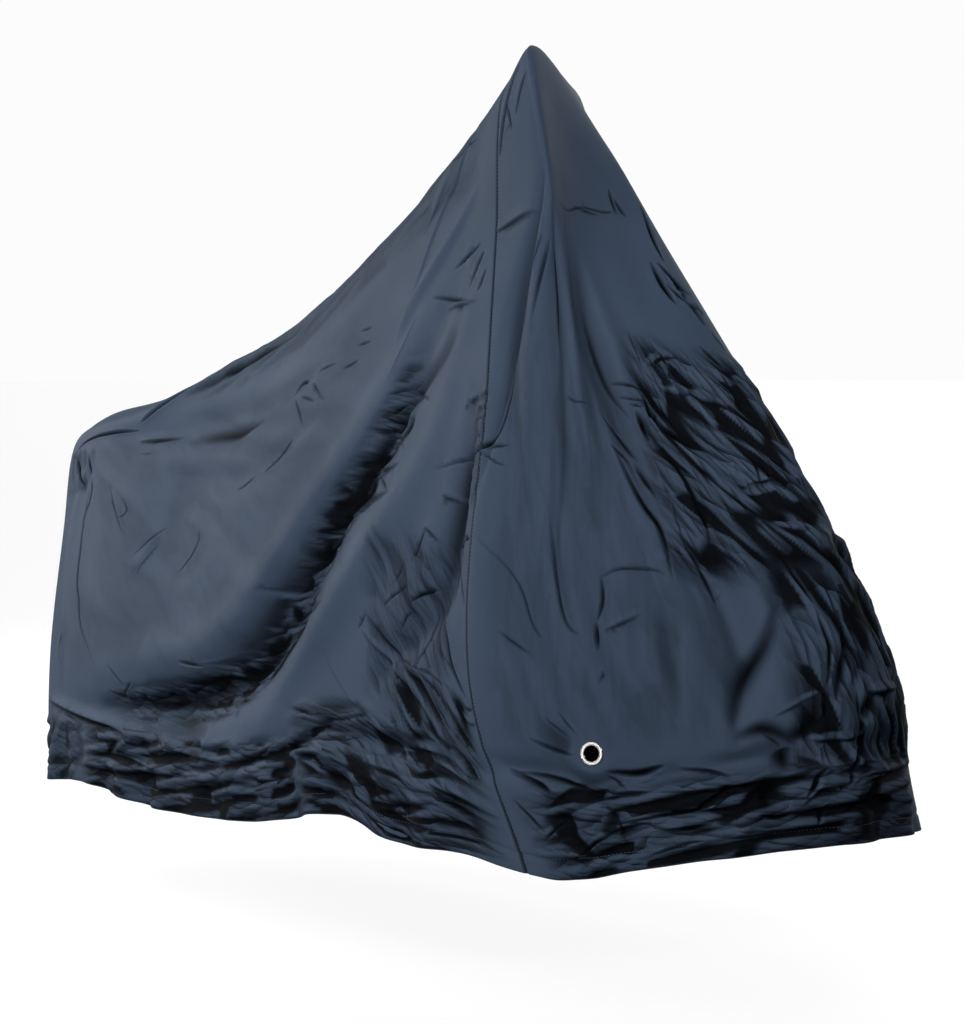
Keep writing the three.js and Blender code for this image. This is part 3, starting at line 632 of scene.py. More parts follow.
def outward(girth, drop):
    """Unit normals of the smooth cloth; along the spine both sides share one."""
    e = NORMAL_STEP
    v = np.maximum(drop, SPINE_DROP)

    def side(g):
        along = smooth_cloth(g + e, v) - smooth_cloth(g - e, v)
        down = smooth_cloth(g, v + e) - smooth_cloth(g, v - e)
        return unit(np.cross(along, down))

    normals = side(girth)
    top = drop <= SPINE_DROP
    if top.any():
        normals[top] = unit(normals + side(-girth))[top]
    return normals


# Folds and creases


def lay_path(path, steps):
    """A smooth path on the smooth cloth through places (girth, drop) in thousandths."""
    knots = np.array(path, float) / THOUSAND
    places = np.arange(-1, len(knots) + 1, dtype=float)
    longer = np.concatenate([[2 * knots[0] - knots[1]], knots, [2 * knots[-1] - knots[-2]]])
    first, share = knot_shares(places, np.linspace(0, len(knots) - 1, steps + 1))
    line = np.einsum("na,nax->nx", share, longer[first[:, None] + np.arange(4)])
    return smooth_cloth(line[:, 0], line[:, 1])


def nearest_on(path, points):
    """For each point: distance to the path, share of its length, offset from it and its heading there."""
    best = np.full(len(points), np.inf)
    share = np.zeros(len(points))
    offset = np.zeros((len(points), 3))
    heading = np.zeros((len(points), 3))
    last = len(path) - 1
    for k in range(last):
        step = path[k + 1] - path[k]
        t = np.clip((points - path[k]) @ step / (step @ step), 0.0, 1.0)
        away = points - path[k] - t[:, None] * step
        distance = (away * away).sum(1)
        near = distance < best
        best[near] = distance[near]
        share[near] = (k + t[near]) / last
        offset[near] = away[near]
        heading[near] = step
    return np.sqrt(best), share, offset, unit(heading)


def near_box(path, points, reach):
    low, high = path.min(0) - reach, path.max(0) + reach
    return np.flatnonzero(((points > low) & (points < high)).all(1))


def fold_depths(points):
    """Depth of the main folds at points of the smooth cloth."""
    depth = np.zeros(len(points))
    for _, width, deep, *path in FOLDS:
        line = lay_path(path, PATH_STEPS)
        near = near_box(line, points, 3 * width * MM)
        distance, share, _, _ = nearest_on(line, points[near])
        fade = np.sin(np.pi * share)
        reach = width * MM * (0.4 + 0.6 * fade)
        depth[near] += deep * MM * fade * np.exp(-((distance / reach) ** 2))
    return depth


def gather_depths(girth, drop):
    turn = 2 * np.pi * girth
    waves = 0.55 * np.sin(13 * turn + 1.3 * np.sin(17 * girth)) + 0.45 * np.sin(21 * turn + 2)
    return GATHER_DEPTH * smoothstep(GATHER_START, 1.0, drop) * waves


def press_crease(depth, dark, points, normals, kind, width, deep, line):
    """Adds one crease to the depths, and the painted shade in it."""
    near = near_box(line, points, 2.6 * width)
    if not len(near):
        return
    distance, share, offset, heading = nearest_on(line, points[near])
    fade = np.sin(np.pi * share) ** 0.6
    s = distance / (width * (0.35 + 0.65 * fade))
    roof = np.maximum(0.0, 1 - s)
    # Painted shade laid into the cloth's colour: in a sunken soft fold, along a line and under a tuck's
    # proud side. Lit is how far a tuck's proud side clears painted shade laid before it.
    shade, lit = 0.0 * s, 0.0 * s
    if kind == "soft":
        shape = np.exp(-(s**2))
        shade = min(1.0, max(0.0, -deep) / (0.6 * width)) * shape
    elif kind == "ridge":
        shape = roof
    elif kind == "line":
        shape = 0.15 * np.maximum(0.0, 1 - np.abs(s - 1.5) / 0.8) - roof
        shade = min(1.0, 0.45 + deep / (14 * MM)) * np.minimum(1.0, 1.6 * roof)
    else:
        side = np.sign(deep) * (np.cross(normals[near], heading) * offset).sum(1)
        proud = 0.5 + 0.5 * np.tanh(side / STEP)
        under = np.maximum(0.0, 1 - 1.7 * s) * (1 - proud)
        shape = np.sign(deep) * (proud * roof - 0.3 * under)
        deep = abs(deep)
        shade = min(1.0, 0.45 + deep / (12 * MM)) * np.clip(2.4 - 4.2 * s, 0, 1) * (1 - proud)
        lit = 0.9 * np.minimum(1.0, 2.5 * roof) * proud
    depth[near] += deep * fade * shape
    dark[near] = np.maximum(dark[near] * (1 - fade * lit), fade * shade)


@lru_cache
def crease_lines():
    """Every single crease laid on the smooth cloth, soft ones first, so that sharp ones lie over them."""
    lines = [(kind, width * MM, deep * MM, lay_path(path, CREASE_STEPS))
             for kind, width, deep, *path in CREASES]
    return sorted(lines, key=lambda crease: crease[0] != "soft")


def zone_window(zone, girth, drop):
    """How fully each place takes part in a crumpled zone."""
    name, g0, g1, d0, d1, *_ = zone
    across = np.abs(np.mod(girth - (g0 + g1) / 2 + 1, 2) - 1) / ((g1 - g0) / 2)
    along = np.abs(drop - (d0 + d1) / 2) / ((d1 - d0) / 2)
    window = (1 - smoothstep(ZONE_EDGE, 1.0, across)) * (1 - smoothstep(ZONE_EDGE, 1.0, along))
    if name == "trough":
        _, width, _, *path = FOLDS[0]
        near = np.flatnonzero(window)
        distance = nearest_on(lay_path(path, PATH_STEPS), smooth_cloth(girth[near], drop[near]))[0]
        window[near] *= 1 - smoothstep(*(share * width * MM for share in TROUGH_BAND), distance)
    return window


def zone_chart(zone, girth, drop):
    """Places on a crumpled zone's own chart, where a facet is one long and one wide."""
    _, g0, g1, d0, d1, length, width, fall, _ = zone
    g, d = (g0 + g1) / 2, (d0 + d1) / 2
    here, along, down = smooth_cloth([g, g + CHART_PROBE, g], [d, d, d + CHART_PROBE])
    x = (np.mod(girth - g + 1, 2) - 1) * np.linalg.norm(along - here) / CHART_PROBE
    y = (drop - d) * np.linalg.norm(down - here) / CHART_PROBE
    turn = math.radians(fall)
    u = (x * math.cos(turn) + y * math.sin(turn)) / (length * MM)
    return np.stack([u, (y * math.cos(turn) - x * math.sin(turn)) / (width * MM)], axis=-1)


@lru_cache
def zone_facets(number):
    """Facets of one crumpled zone: corners on its chart, their heights, and the triangles between them.

    Each row of high corners has a row of low ones close below it, so that facets hang over like scales."""
    zone = CRUMPLES[number]
    rng = np.random.default_rng(CRUMPLE_SEED + number)
    girths, drops = (zone.girth_from, zone.girth_to), (zone.drop_from, zone.drop_to)
    corners = zone_chart(zone, np.array(girths * 2), np.repeat(drops, 2))
    (u0, v0), (u1, v1) = np.floor(corners.min(0)) - 1, np.ceil(corners.max(0)) + 1
    places, heights = [], []
    stray_u, stray_v = FACET_STRAY
    for row in np.arange(v0, v1):
        for below, low, high in FACET_ROWS:
            u = np.arange(u0, u1) + rng.uniform(0, 1)
            u = u + rng.uniform(-stray_u, stray_u, len(u))
            places.append(np.stack([u, row + below + rng.uniform(-stray_v, stray_v, len(u))], axis=1))
            heights.append(rng.uniform(low, high, len(u)))
    places, heights = np.concatenate(places), np.concatenate(heights)
    triangles = delaunay_2d_cdt([Vector(p) for p in places], [], [], 0, 1e-6)[2]
    return places, heights, triangles


def facet_levels(number, at):
    """Level of the facets of one zone at places on its chart, from -1 low to 1 high."""
    places, heights, triangles = zone_facets(number)
    level = np.zeros(len(at))
    for triangle in triangles:
        corners = places[list(triangle)]
        near = np.flatnonzero(((at >= corners.min(0)) & (at <= corners.max(0))).all(1))
        if not len(near):
            continue
        first, *others = corners
        share = np.linalg.solve(np.stack(others - first, axis=1), (at[near] - first).T).T
        inside = (share >= -1e-9).all(1) & (share.sum(1) <= 1 + 1e-9)
        low, *rest = heights[list(triangle)]
        level[near[inside]] = (low + share @ (np.array(rest) - low))[inside]
    return level


def crumple(girth, drop):
    """Height of the crumpled cloth at places (girth, drop), its painted shade, how crumpled it is and its
    chart.

    Where two zones meet, neither is crumpled, so that no line shows between their charts."""
    height, dark, rough, second = np.zeros((4, len(girth)))
    chart = np.zeros((len(girth), 2))
    for number, zone in enumerate(CRUMPLES):
        window = zone_window(zone, girth, drop)
        near = np.flatnonzero(window)
        if not len(near):
            continue
        at = zone_chart(zone, girth[near], drop[near])
        # the mean over a cell, so that slanting edges stay straight
        size = FACET_CELL * CELL / 2 / (np.array([zone.length, zone.width]) * MM)
        around = [np.array(corner) * size for corner in FACET_SAMPLES]
        level = sum(facet_levels(number, at + step) for step in around) / len(around)
        high = zone.height * MM
        height[near] += high * window[near] * level
        strong = min(1.0, high / FACET_SHADE) ** 2 * window[near]
        # Painted shade: dark on the low side of each facet, and at least a dusk over the whole zone.
        shade = strong * np.maximum(FACET_DUSK, smoothstep(*FACET_LOW, -level))
        dark[near] = np.maximum(dark[near], shade)
        ahead = strong**2 > rough[near]
        chart[near[ahead]] = at[ahead] + CHART_STEP * number
        second[near] = np.maximum(second[near], np.minimum(rough[near], strong**2))
        rough[near] = np.maximum(rough[near], strong**2)
    return height, dark, rough - second, chart


def eyelet_seat():
    """Place and outward direction of the eyelet, as in the solids."""
    girth, drop = np.array([EYELET_GIRTH]), np.array([EYELET_DROP])
    point, normal = smooth_cloth(girth, drop), outward(girth, drop)
    depth = fold_depths(point) + gather_depths(girth, drop)
    return (point + normal * depth[:, None])[0], normal[0]


def flatten_at_eyelet(points):
    """The cloth lies flat under the eyelet's flange."""
    centre, normal = eyelet_seat()
    offset = points - centre
    lift = offset @ normal
    reach = np.linalg.norm(offset - np.outer(lift, normal), axis=1)
    hold = 1 - smoothstep(*EYELET_FLAT, reach)
    hold[np.abs(lift) > EYELET_DEEP] = 0
    return points - np.outer(lift * hold, normal)


def from_seam(girth):
    """How far round from the nearer seam, positive on the rear panel."""
    return np.abs(np.mod(girth + 1, 2) - 1) - SEAM_GIRTH


def drape(girth, drop, lap=False):
    """The cloth with its folds, gathers, creases and hem at places (girth, drop).

    Gives points, normals, painted shade, how crumpled it is and its place on the chart of its zone."""
    base = smooth_cloth(girth, drop)
    normals = outward(girth, drop)
    fine, dark, rough, chart = crumple(girth, drop)
    for crease in crease_lines():
        press_crease(fine, dark, base, normals, *crease)
    fine *= 1 - HEM_HOLD * smoothstep(HEM_LINE - 0.004, HEM_LINE + 0.006, drop)
    fine -= HEM_GROOVE * np.exp(-(((drop - HEM_LINE) / HEM_GROOVE_DROP) ** 2))
    depth = fold_depths(base) + gather_depths(girth, drop) + fine
    seam = from_seam(girth)
    groove = np.maximum(0.0, 1 - np.abs(seam) * GIRTH_LENGTH / SEAM_REACH)
    depth -= SEAM_GROOVE * groove
    # Painted shade along the seam's groove.
    dark = np.maximum(dark, SEAM_SHADE * np.minimum(1.0, 1.5 * groove))
    if lap:
        depth -= LAP_DEPTH * (1 - smoothstep(*LAP_EDGE, seam))
    depth *= smoothstep(0, SPINE_CALM, drop)
    points = flatten_at_eyelet(base + normals * depth[:, None])
    sag = smoothstep(*SAG_IN, girth) * (1 - smoothstep(*SAG_OUT, girth)) * smoothstep(SAG_START, 1.0, drop)
    points[:, 2] -= HEM_SAG * sag
    return points, normals, dark, rough, chart


# Panels


@lru_cache
def guides():
    """Lines along which the cells are halved: line, reach to each side, largest cell."""
    rounded = [(width * MM, lay_path(path, PATH_STEPS)) for _, width, _, *path in FOLDS]
    rounded += [(width, line) for kind, width, _, line in crease_lines() if kind == "soft"]
    found = [(line, 1.6 * width, width / 2.6) for width, line in rounded]
    for kind, width, _, line in crease_lines():
        if kind == "tuck":
            found += [(line, width, 4 * CELL), (line, 1.2 * STEP, CELL)]
        elif kind != "soft":
            found.append((line, 1.1 * width, CELL))
    drops = np.linspace(0.02, 1.0, 60)
    for side, cell in ((1, CELL), (-1, 2 * CELL)):
        found.append((smooth_cloth(side * SEAM_GIRTH, drops), 1.4 * SEAM_REACH, cell))
    girths = np.linspace(-0.12, 1.06, 240)
    found.append((smooth_cloth(girths, HEM_LINE), 5 * MM, 2 * CELL))
    centre = eyelet_seat()[0]
    found.append((np.array([centre, centre + (0, 0, MM)]), 26 * MM, CELL))
    return found


def must_split(girth, drop, size):
    """Which cells of this size, with these middles, are halved."""
    points = smooth_cloth(girth, drop)
    split = (drop > GATHER_START) & (size > COARSE // 2)
    for zone in CRUMPLES:
        if size > (2 if zone.name in COARSE_ZONES else 1) * FACET_CELL:
            split |= zone_window(zone, girth, drop) > 0.02
    for line, reach, cell in guides():
        if size * CELL <= cell:
            continue
        reach = reach + 0.6 * size * CELL
        near = near_box(line, points, reach)
        near = near[~split[near]]
        if len(near):
            split[near] = nearest_on(line, points[near])[0] < reach
    return split


def split_cells(columns, rows, place):
    """Cells of a panel as corners and sizes on its grid."""
    size = COARSE
    x, y = (a.ravel() for a in np.meshgrid(np.arange(0, 2 * columns, size), np.arange(0, rows, size)))
    cells = []
    while size > 1:
        split = must_split(*place(x + size / 2, y + size / 2), size)
        cells.append((x[~split], y[~split], size))
        size //= 2
        x = np.concatenate([x[split] + k for k in (0, size, 0, size)])
        y = np.concatenate([y[split] + k for k in (0, 0, size, size)])
    return cells + [(x, y, 1)]


def cell_mesh(columns, cells):
    """Vertex places on the grid, and faces that take in the corners of finer neighbours.

    The left half's first row of cells hangs on the right half's vertices along the spine."""
    def glue(x, y):
        return (2 * columns - x if y == 0 and x > columns else x), y

    number, faces = {}, []
    corners = [(x + a * size, y + b * size) for x, y, size in cells for a in (0, 1) for b in (0, 1)]
    for x, y in sorted({glue(*pair) for xs, ys in corners for pair in zip(xs.tolist(), ys.tolist())}):
        number[x, y] = len(number)
    for xs, ys, size in cells:
        steps = range(size)
        for x, y in zip(xs.tolist(), ys.tolist()):
            around = [(x + k, y) for k in steps] + [(x + size, y + k) for k in steps]
            around += [(x + size - k, y + size) for k in steps] + [(x, y + size - k) for k in steps]
            found = [number.get(glue(*pair)) for pair in around]
            faces.append([n for n in found if n is not None])
    return np.array(list(number), float), faces


def hem_rows(girth, sizes, points):
    """Rows that roll the hem's edge inward and turn it up behind, after the last row of the panel."""
    one = np.ones(len(girth))
    normals = outward(girth, one)
    down = unit(smooth_cloth(girth, one) - smooth_cloth(girth, one - NORMAL_STEP))
    rows = []
    for angle in HEM_ROLL_ANGLES:
        turn = math.radians(angle)
        rows.append(points - normals * sizes.hem_roll * (1 - math.cos(turn))
                    + down * sizes.hem_roll * math.sin(turn))
    for share in HEM_TURN_SHARES:
        rows.append(points - normals * HEM_TURN_GAP * sizes.hem_roll - down * sizes.hem_turn * share)
    return rows


def lay_panel(name, seam, pole, grid, lap):
    """One panel as a mesh of single cloth with a rolled hem.

    Its UV layers are the flat pattern and the charts of the crumpled zones."""
    sizes, _, _ = settings()
    columns, rows = grid

    def place(x, y):
        share = 1 - np.abs(1 - x / columns)
        return np.where(x <= columns, 1, -1) * (seam + (pole - seam) * share), y / rows

    places, faces = cell_mesh(columns, split_cells(columns, rows, place))
    girth, drop = place(*places.T)
    points, _, *shade_and_crumple, chart = drape(girth, drop, lap)
    edge = np.flatnonzero(places[:, 1] == rows)
    count, upper = len(edge), edge
    for row in hem_rows(girth[edge], sizes, points[edge]):
        lower = np.arange(len(points), len(points) + count)
        faces += [[upper[k], upper[k + 1], lower[k + 1], lower[k]] for k in range(count - 1)]
        points = np.concatenate([points, row])
        upper = lower
    if pole < seam:
        faces = [face[::-1] for face in faces]
    extra = len(points) - len(girth)
    girth = np.concatenate([girth, np.tile(girth[edge], extra // count)])
    drop = np.concatenate([drop, np.ones(extra)])
    mesh = bpy.data.meshes.new(name)
    mesh.from_pydata(points.tolist(), [], [[int(v) for v in face] for face in faces])
    loops = np.empty(len(mesh.loops), int)
    mesh.loops.foreach_get("vertex_index", loops)
    flat = np.stack([np.mod(girth + 1, 2), drop], axis=1) * FLAT_PATTERN
    chart = np.concatenate([chart, np.zeros((extra, 2))])
    for layer, spots in (("cloth", flat), ("facets", chart)):
        mesh.uv_layers.new(name=layer).data.foreach_set("uv", spots[loops].ravel())
    # The painted shade and how crumpled the cloth is, kept as attributes for the material.
    for label, tone in zip(("crease", "crumple"), shade_and_crumple):
        values = np.concatenate([tone, np.zeros(extra)])
        mesh.attributes.new(label, "FLOAT", "POINT").data.foreach_set("value", values)
    sheet = bpy.data.objects.new(mesh.name, mesh)
    bpy.context.collection.objects.link(sheet)
    return sheet


def cut_eyelet_hole(sheet, radius):
    centre = Vector(eyelet_seat()[0])
    shape = bmesh.new()
    shape.from_mesh(sheet.data)
    inside = [f for f in shape.faces if (f.calc_center_median() - centre).length < radius]
    bmesh.ops.delete(shape, geom=inside, context="FACES")
    bmesh.ops.delete(shape, geom=[v for v in shape.verts if not v.link_faces], context="VERTS")
    shape.to_mesh(sheet.data)
    shape.free()


def only(piece):
    """Makes the piece the one selected object."""
    bpy.ops.object.select_all(action="DESELECT")
    piece.select_set(True)
    bpy.context.view_layer.objects.active = piece


# Stitches


def stitch_runs():
    """Lines of stitching as places (girth, drop): beside both seams and along the top of the hem."""
    drops = np.linspace(0.02, 0.99, 900)
    runs = [(np.full(len(drops), side * (SEAM_GIRTH - SEWN_IN)), drops) for side in (1, -1)]
    for start, end, count in ((-SEAM_GIRTH, SEAM_GIRTH, 700), (SEAM_GIRTH, 2 - SEAM_GIRTH, 1800)):
        hem = np.linspace(start + HEM_SEWN_IN, end - HEM_SEWN_IN, count)
        runs.append((hem, np.full(count, HEM_LINE)))
    return runs


def stitch_frames(sizes):
    """Middle, heading and outward direction of every stitch."""
    middles, headings, normals = [], [], []
    for girth, drop in stitch_runs():
        points, out, *_ = drape(girth, drop)
        run = np.concatenate([[0.0], np.cumsum(np.linalg.norm(np.diff(points, axis=0), axis=1))])
        at = np.arange(sizes.stitch_step, run[-1], sizes.stitch_step)
        place = [np.stack([np.interp(at + shift, run, points[:, k]) for k in range(3)], axis=1)
                 for shift in (-sizes.stitch / 2, 0.0, sizes.stitch / 2)]
        middles.append(place[1])
        headings.append(unit(place[2] - place[0]))
        normals.append(np.stack([np.interp(at, run, out[:, k]) for k in range(3)], axis=1))
    return np.concatenate(middles), np.concatenate(headings), np.concatenate(normals)


def sew(name, sizes):
    """All stitches as one mesh: each a short thread, thin at both ends."""
    middles, headings, normals = stitch_frames(sizes)
    across = unit(np.cross(normals, headings))
    rise = np.cross(headings, across)
    sides = STITCH_SIDES
    verts = []
    for place, thick, lift in STITCH_RINGS:
        for k in range(sides):
            a = 2 * math.pi * k / sides
            verts.append(middles + headings * sizes.stitch * place
                         + across * sizes.thread / 2 * thick * math.cos(a)
                         + rise * sizes.thread / 2 * (thick * math.sin(a) + lift))
    each = len(STITCH_RINGS) * sides
    verts = np.stack(verts, axis=1).reshape(-1, 3)
    one = [[r + k, r + (k + 1) % sides, r + sides + (k + 1) % sides, r + sides + k]
           for r in range(0, each - sides, sides) for k in range(sides)]
    one += [list(range(sides))[::-1], list(range(each - sides, each))]
    faces = [[v + each * n for v in face] for n in range(len(middles)) for face in one]
    mesh = bpy.data.meshes.new(name)
    mesh.from_pydata(verts.tolist(), [], faces)
    stitches = bpy.data.objects.new(name, mesh)
    bpy.context.collection.objects.link(stitches)
    return stitches


# Materials


class Sock:
    """A shader socket that takes part in Python expressions."""

    def __init__(self, tree, socket):
        self.tree = tree
        self.socket = socket

    def math(self, operation, other, swap=False):
        pair = [other, self] if swap else [self, other]
        return add_node(self.tree, "ShaderNodeMath", {"operation": operation}, dict(enumerate(pair)))

    def __add__(self, other):
        return self.math("ADD", other)

    __radd__ = __add__

    def __sub__(self, other):
        return self.math("SUBTRACT", other)

    def __rsub__(self, other):
        return self.math("SUBTRACT", other, swap=True)

    def __mul__(self, other):
        return self.math("MULTIPLY", other)

    __rmul__ = __mul__

    def __pow__(self, other):
        return self.math("POWER", other)

    def twin(self, name):
        """Another output of the same node."""
        return Sock(self.tree, self.socket.node.outputs[name])

    def into(self, node, name):
        self.tree.links.new(self.socket, node.inputs[name])


def add_node(tree, kind, options=None, inputs=None, output=0):
    """Any node: its settings first, then the values or links of its sockets; gives one output."""
    node = tree.nodes.new(kind)
    for key, value in (options or {}).items():
        setattr(node, key, value)
    for key, value in (inputs or {}).items():
        if isinstance(value, Sock):
            tree.links.new(value.socket, node.inputs[key])
        else:
            node.inputs[key].default_value = value
    return Sock(tree, node.outputs[output])


def new_material(name):
    material = bpy.data.materials.new(name)
    material.use_nodes = True
    tree = material.node_tree
    return material, tree, tree.nodes["Principled BSDF"]


def noise(tree, place, scale, detail, **options):
    inputs = {"Vector": place, "Scale": scale, "Detail": detail}
    return add_node(tree, "ShaderNodeTexNoise", options, inputs)


def spread(tree, value, low, high, top=1.0):
    """A value from low to high, as a share from none to top."""
    return add_node(tree, "ShaderNodeMapRange", {}, {0: value, 1: low, 2: high, 3: 0.0, 4: top})


def blend_colours(tree, share, a, b):
    a, b = (c if isinstance(c, Sock) else (*c, 1) for c in (a, b))
    return add_node(tree, "ShaderNodeMix", {"data_type": "RGBA"}, {0: share, 6: a, 7: b}, 2)


def shards(tree, chart, sway, turn, scale):
    """Small facets on the chart of a crumpled zone, turned by some degrees.

    Gives the painted shade on the low side of each, its slope, and a chance."""
    def vector(operation, *terms, output=0):
        inputs = dict(enumerate(terms))
        return add_node(tree, "ShaderNodeVectorMath", {"operation": operation}, inputs, output)

    def part(axis, whole):
        return add_node(tree, "ShaderNodeSeparateXYZ", {}, {0: whole}, axis)

    at = add_node(tree, "ShaderNodeVectorRotate", {"rotation_type": "Z_AXIS"},
                  {"Vector": vector("MULTIPLY", chart, SHARD_STRETCH), "Angle": math.radians(turn)})
    at = vector("MULTIPLY_ADD", sway, SHARD_SWAY, vector("MULTIPLY", at, scale))
    cells = add_node(tree, "ShaderNodeTexVoronoi", {"voronoi_dimensions": "2D"},
                     {"Vector": at, "Scale": 1.0})
    offset = vector("SUBTRACT", at, cells.twin("Position"))
    lean = vector("SUBTRACT", cells.twin("Color"), SHARD_TILT)
    chance = part("Z", cells.twin("Color"))
    low = spread(tree, part("Y", offset) + part("X", offset) * part("X", lean), 0.0, 0.4)
    return low * (0.25 + 0.75 * chance), vector("DOT_PRODUCT", offset, lean, output="Value"), chance


def cloth_material():
    _, colours, _ = settings()
    material, tree, shader = new_material("coated_cloth")
    place = add_node(tree, "ShaderNodeTexCoord", output=3)
    patches = noise(tree, place, 3.2, 4.0)
    streaks = noise(tree, place, 22.0, 6.0)
    plain = blend_colours(tree, spread(tree, patches, 0.38, 0.68), colours.cloth, colours.cloth_worn)
    crease = add_node(tree, "ShaderNodeAttribute", {"attribute_name": "crease"}, output=2)
    crumple = add_node(tree, "ShaderNodeAttribute", {"attribute_name": "crumple"}, output=2)
    chart = add_node(tree, "ShaderNodeUVMap", {"uv_map": "facets"})
    sway = add_node(tree, "ShaderNodeTexNoise", {}, {"Vector": place, "Scale": 14.0, "Detail": 2.0}, 1)
    large, large_lean, chance = shards(tree, chart, sway, *LARGE_SHARDS)
    small, small_lean, _ = shards(tree, chart, sway, *SMALL_SHARDS)
    # Painted shade: black shards where the stored crease shade is deep, and shade on the low side of the
    # large and small shards in crumpled zones; elsewhere the stored crease shade alone.
    shard_shade = spread(tree, crease + 0.35 * (chance - 0.5), 0.4, 0.9, 0.97)
    shade = 1 - (1 - 0.9 * large) * (1 - 0.85 * small) * (1 - shard_shade)
    share = crumple ** 0.75
    shade = crease * (1 - share) + shade * share
    blend_colours(tree, shade, plain, colours.crease).into(shader, "Base Color")
    (0.62 + 0.12 * streaks + 0.2 * crease).into(shader, "Roughness")
    shader.inputs["Specular IOR Level"].default_value = 0.04
    ridges = noise(tree, place, 34.0, 4.0, noise_type="RIDGED_MULTIFRACTAL")
    weave = noise(tree, place, 900.0, 2.0)
    facets = crumple * (8 * MM * large_lean + 4 * MM * small_lean)
    height = 0.32 * MM * ridges + 0.05 * MM * weave + facets
    add_node(tree, "ShaderNodeBump", {}, {"Height": height, "Distance": 1.0}).into(shader, "Normal")
    return material


def thread_material():
    _, colours, _ = settings()
    material, tree, shader = new_material("sewing_thread")
    twist = noise(tree, add_node(tree, "ShaderNodeTexCoord", output=3), 700.0, 3.0)
    blend_colours(tree, twist, colours.thread, colours.cloth_worn).into(shader, "Base Color")
    shader.inputs["Roughness"].default_value = 0.6
    return material


def metal_material():
    _, colours, _ = settings()
    material, tree, shader = new_material("nickel")
    smear = noise(tree, add_node(tree, "ShaderNodeTexCoord", output=3), 160.0, 4.0)
    blend_colours(tree, smear, colours.metal, [0.86 * c for c in colours.metal]).into(shader, "Base Color")
    (0.05 + 0.07 * smear).into(shader, "Roughness")
    shader.inputs["Metallic"].default_value = 1.0
    return material


def floor_material():
    _, colours, _ = settings()
    material, _, shader = new_material("pale_floor")
    shader.inputs["Base Color"].default_value = (*colours.floor, 1)
    shader.inputs["Roughness"].default_value = 0.8
    shader.inputs["Emission Color"].default_value = (1, 1, 1, 1)
    shader.inputs["Emission Strength"].default_value = FLOOR_GLOW
    return material


# Operators


class COVER_OT_panels(Operator):
    """Lay the two cloth panels over the ribs, with folds, creases, hem and eyelet hole"""

    bl_idname = "cover.panels"
    bl_label = "Cloth panels"

    def execute(self, context):
        sizes, _, _ = settings()
        finish = cloth_material()
        front = lay_panel("front_sheet", SEAM_GIRTH - SEAM_OPEN / 2, 0.0, FRONT_GRID, False)
        rear = lay_panel("rear_sheet", SEAM_GIRTH - LAP_GIRTH, 1.0, REAR_GRID, True)
        cut_eyelet_hole(front, sizes.hole)
        for sheet in (front, rear):
            only(sheet)
            bpy.ops.object.shade_smooth()
            sheet.data.materials.append(finish)
            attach(sheet, "root")
        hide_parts("front_panel", "eyelet_patch")
        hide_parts("rear_panel")
        return {"FINISHED"}


class COVER_OT_stitches(Operator):
    """Sew the rows of stitches beside the seams and along the hem"""

    bl_idname = "cover.stitches"
    bl_label = "Stitches"

    def execute(self, context):
        sizes, _, _ = settings()
        stitches = sew("stitches", sizes)
        only(stitches)
        bpy.ops.object.shade_smooth()
        stitches.data.materials.append(thread_material())
        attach(stitches, "root")
        return {"FINISHED"}


class COVER_OT_eyelet(Operator):
    """Roll the nickel eyelet: a rim on each face of the cloth, a lip and the tube between them"""

    bl_idname = "cover.eyelet"
    bl_label = "Eyelet"

    def execute(self, context):
        sizes, _, _ = settings()
        rim = sizes.eyelet / 2
        bpy.ops.object.select_all(action="DESELECT")
        rolls = []
        round_it, round_roll = EYELET_SEGMENTS
        for inset, thick, lift, flat in EYELET_ROLLS:
            bpy.ops.mesh.primitive_torus_add(
                location=(0, 0, lift * MM), major_radius=rim - inset * MM, minor_radius=thick * MM,
                major_segments=round_it, minor_segments=round_roll)
            context.object.scale.z = flat
            rolls.append(context.object)
        inset, depth = EYELET_TUBE
        bpy.ops.mesh.primitive_cylinder_add(
            vertices=round_it, radius=rim - inset, depth=depth, end_fill_type="NOTHING")
        for roll in rolls:
            roll.select_set(True)
        bpy.ops.object.join()
        eyelet = context.object
        eyelet.name = eyelet.data.name = "eyelet"
        bpy.ops.object.transform_apply(location=True, rotation=True, scale=True)
        centre, normal = eyelet_seat()
        eyelet.location = centre
        eyelet.rotation_euler = Vector(normal).to_track_quat("Z", "Y").to_euler()
        bpy.ops.object.transform_apply(location=True, rotation=True, scale=True)
        bpy.ops.object.shade_smooth()
        eyelet.data.materials.append(metal_material())
        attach(eyelet, "root")
        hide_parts("eyelet_ring")
        return {"FINISHED"}


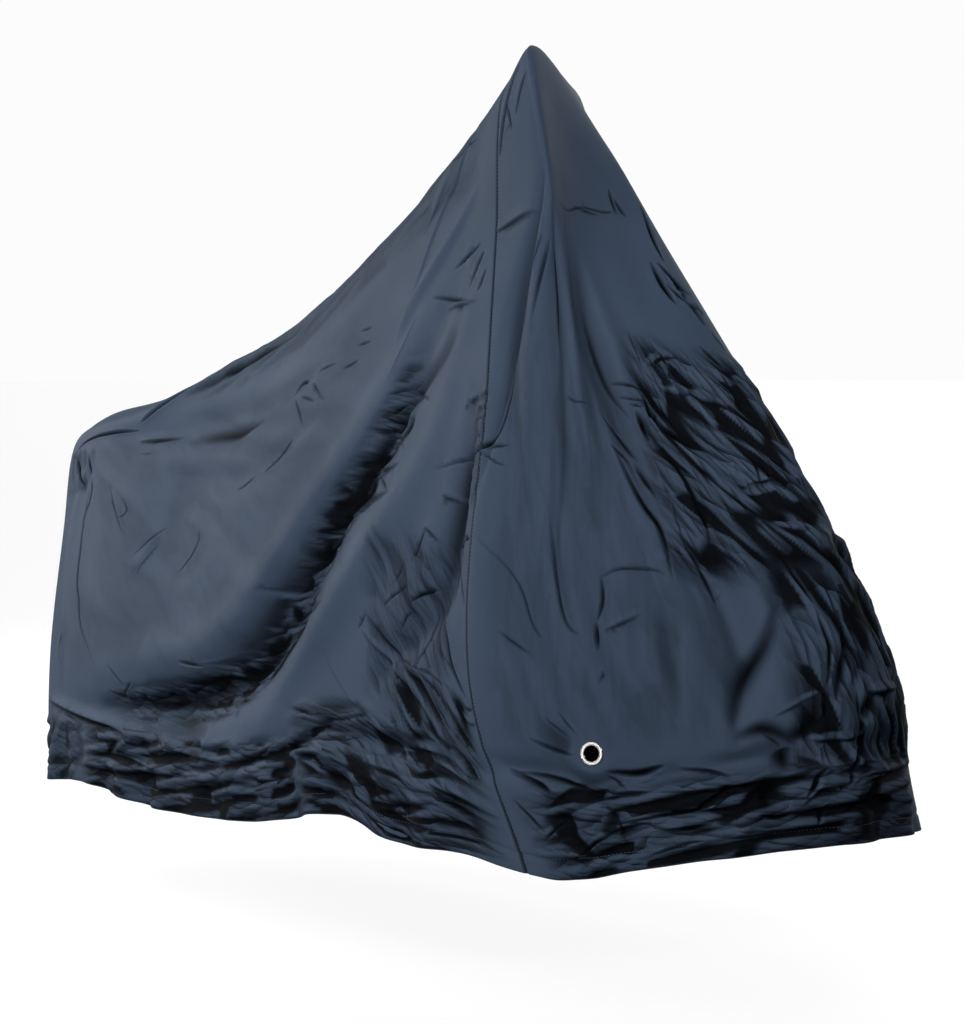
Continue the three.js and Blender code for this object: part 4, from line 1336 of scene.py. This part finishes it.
class COVER_OT_stage(Operator):
    """Set the floor, the lights and the camera"""

    bl_idname = "cover.stage"
    bl_label = "Stage"

    def execute(self, context):
        _, _, stage = settings()
        bpy.ops.object.select_all(action="DESELECT")
        bpy.ops.mesh.primitive_plane_add(size=FLOOR_SIZE, location=(0, 0, -REST_HEIGHT))
        floor = context.object
        floor.name = "floor"
        floor.data.materials.append(floor_material())
        floor.visible_diffuse = floor.visible_glossy = False
        for name, size, place, target, spread_angle in LIGHTS:
            light = bpy.data.lights.new(name, "AREA")
            light.energy = getattr(stage, name + "_power")
            light.size = size
            light.spread = math.radians(spread_angle)
            self.hang(light, place, target)
        left = bpy.data.lights.new("left", "SUN")
        left.energy = stage.left_power
        left.angle = math.radians(LEFT_ANGLE)
        self.hang(left, *LEFT_LIGHT)
        world = bpy.data.worlds.new("studio")
        context.scene.world = world
        world.use_nodes = True
        backdrop = world.node_tree.nodes["Background"]
        backdrop.inputs["Color"].default_value = (1, 1, 1, 1)
        backdrop.inputs["Strength"].default_value = stage.sky
        world.cycles_visibility.diffuse = world.cycles_visibility.glossy = False
        context.scene.view_settings.view_transform = "Standard"
        lens = bpy.data.cameras.new("photo_view")
        lens.lens = stage.camera_lens
        lens.sensor_width = FRAME_WIDTH
        camera = bpy.data.objects.new("photo_view", lens)
        context.collection.objects.link(camera)
        camera.location = stage.camera_place
        camera.rotation_euler = (math.radians(90 - stage.camera_pitch), 0,
                                 math.radians(stage.camera_azimuth))
        context.scene.camera = camera
        return {"FINISHED"}

    @staticmethod
    def hang(light, place, target):
        lamp = bpy.data.objects.new(light.name, light)
        bpy.context.collection.objects.link(lamp)
        lamp.location = place
        lamp.rotation_euler = (Vector(target) - Vector(place)).to_track_quat("-Z", "Y").to_euler()


class COVER_PT_build(Panel):
    bl_idname = "COVER_PT_build"
    bl_label = "Motorcycle cover"
    bl_space_type = "VIEW_3D"
    bl_region_type = "UI"
    bl_category = "Cover"

    def draw(self, context):
        for step in STEPS:
            self.layout.operator(step.bl_idname)
        for group in GROUPS:
            values = getattr(context.scene, group)
            box = self.layout.box()
            for key in values.__annotations__:
                box.prop(values, key)


GROUPS = {"cover_sizes": CoverSizes, "cover_colours": CoverColours, "cover_stage": CoverStage}
STEPS = (COVER_OT_panels, COVER_OT_stitches, COVER_OT_eyelet, COVER_OT_stage)


def register():
    for name, group in GROUPS.items():
        bpy.utils.register_class(group)
        setattr(bpy.types.Scene, name, PointerProperty(type=group))
    for cls in (*STEPS, COVER_PT_build):
        bpy.utils.register_class(cls)


def unregister():
    for cls in (COVER_PT_build, *reversed(STEPS)):
        bpy.utils.unregister_class(cls)
    for name, group in GROUPS.items():
        delattr(bpy.types.Scene, name)
        bpy.utils.unregister_class(group)


def main():
    register()
    bpy.ops.cover.panels()
    bpy.ops.cover.stitches()
    bpy.ops.cover.eyelet()
    bpy.ops.cover.stage()


if __name__ == "__main__":
    main()
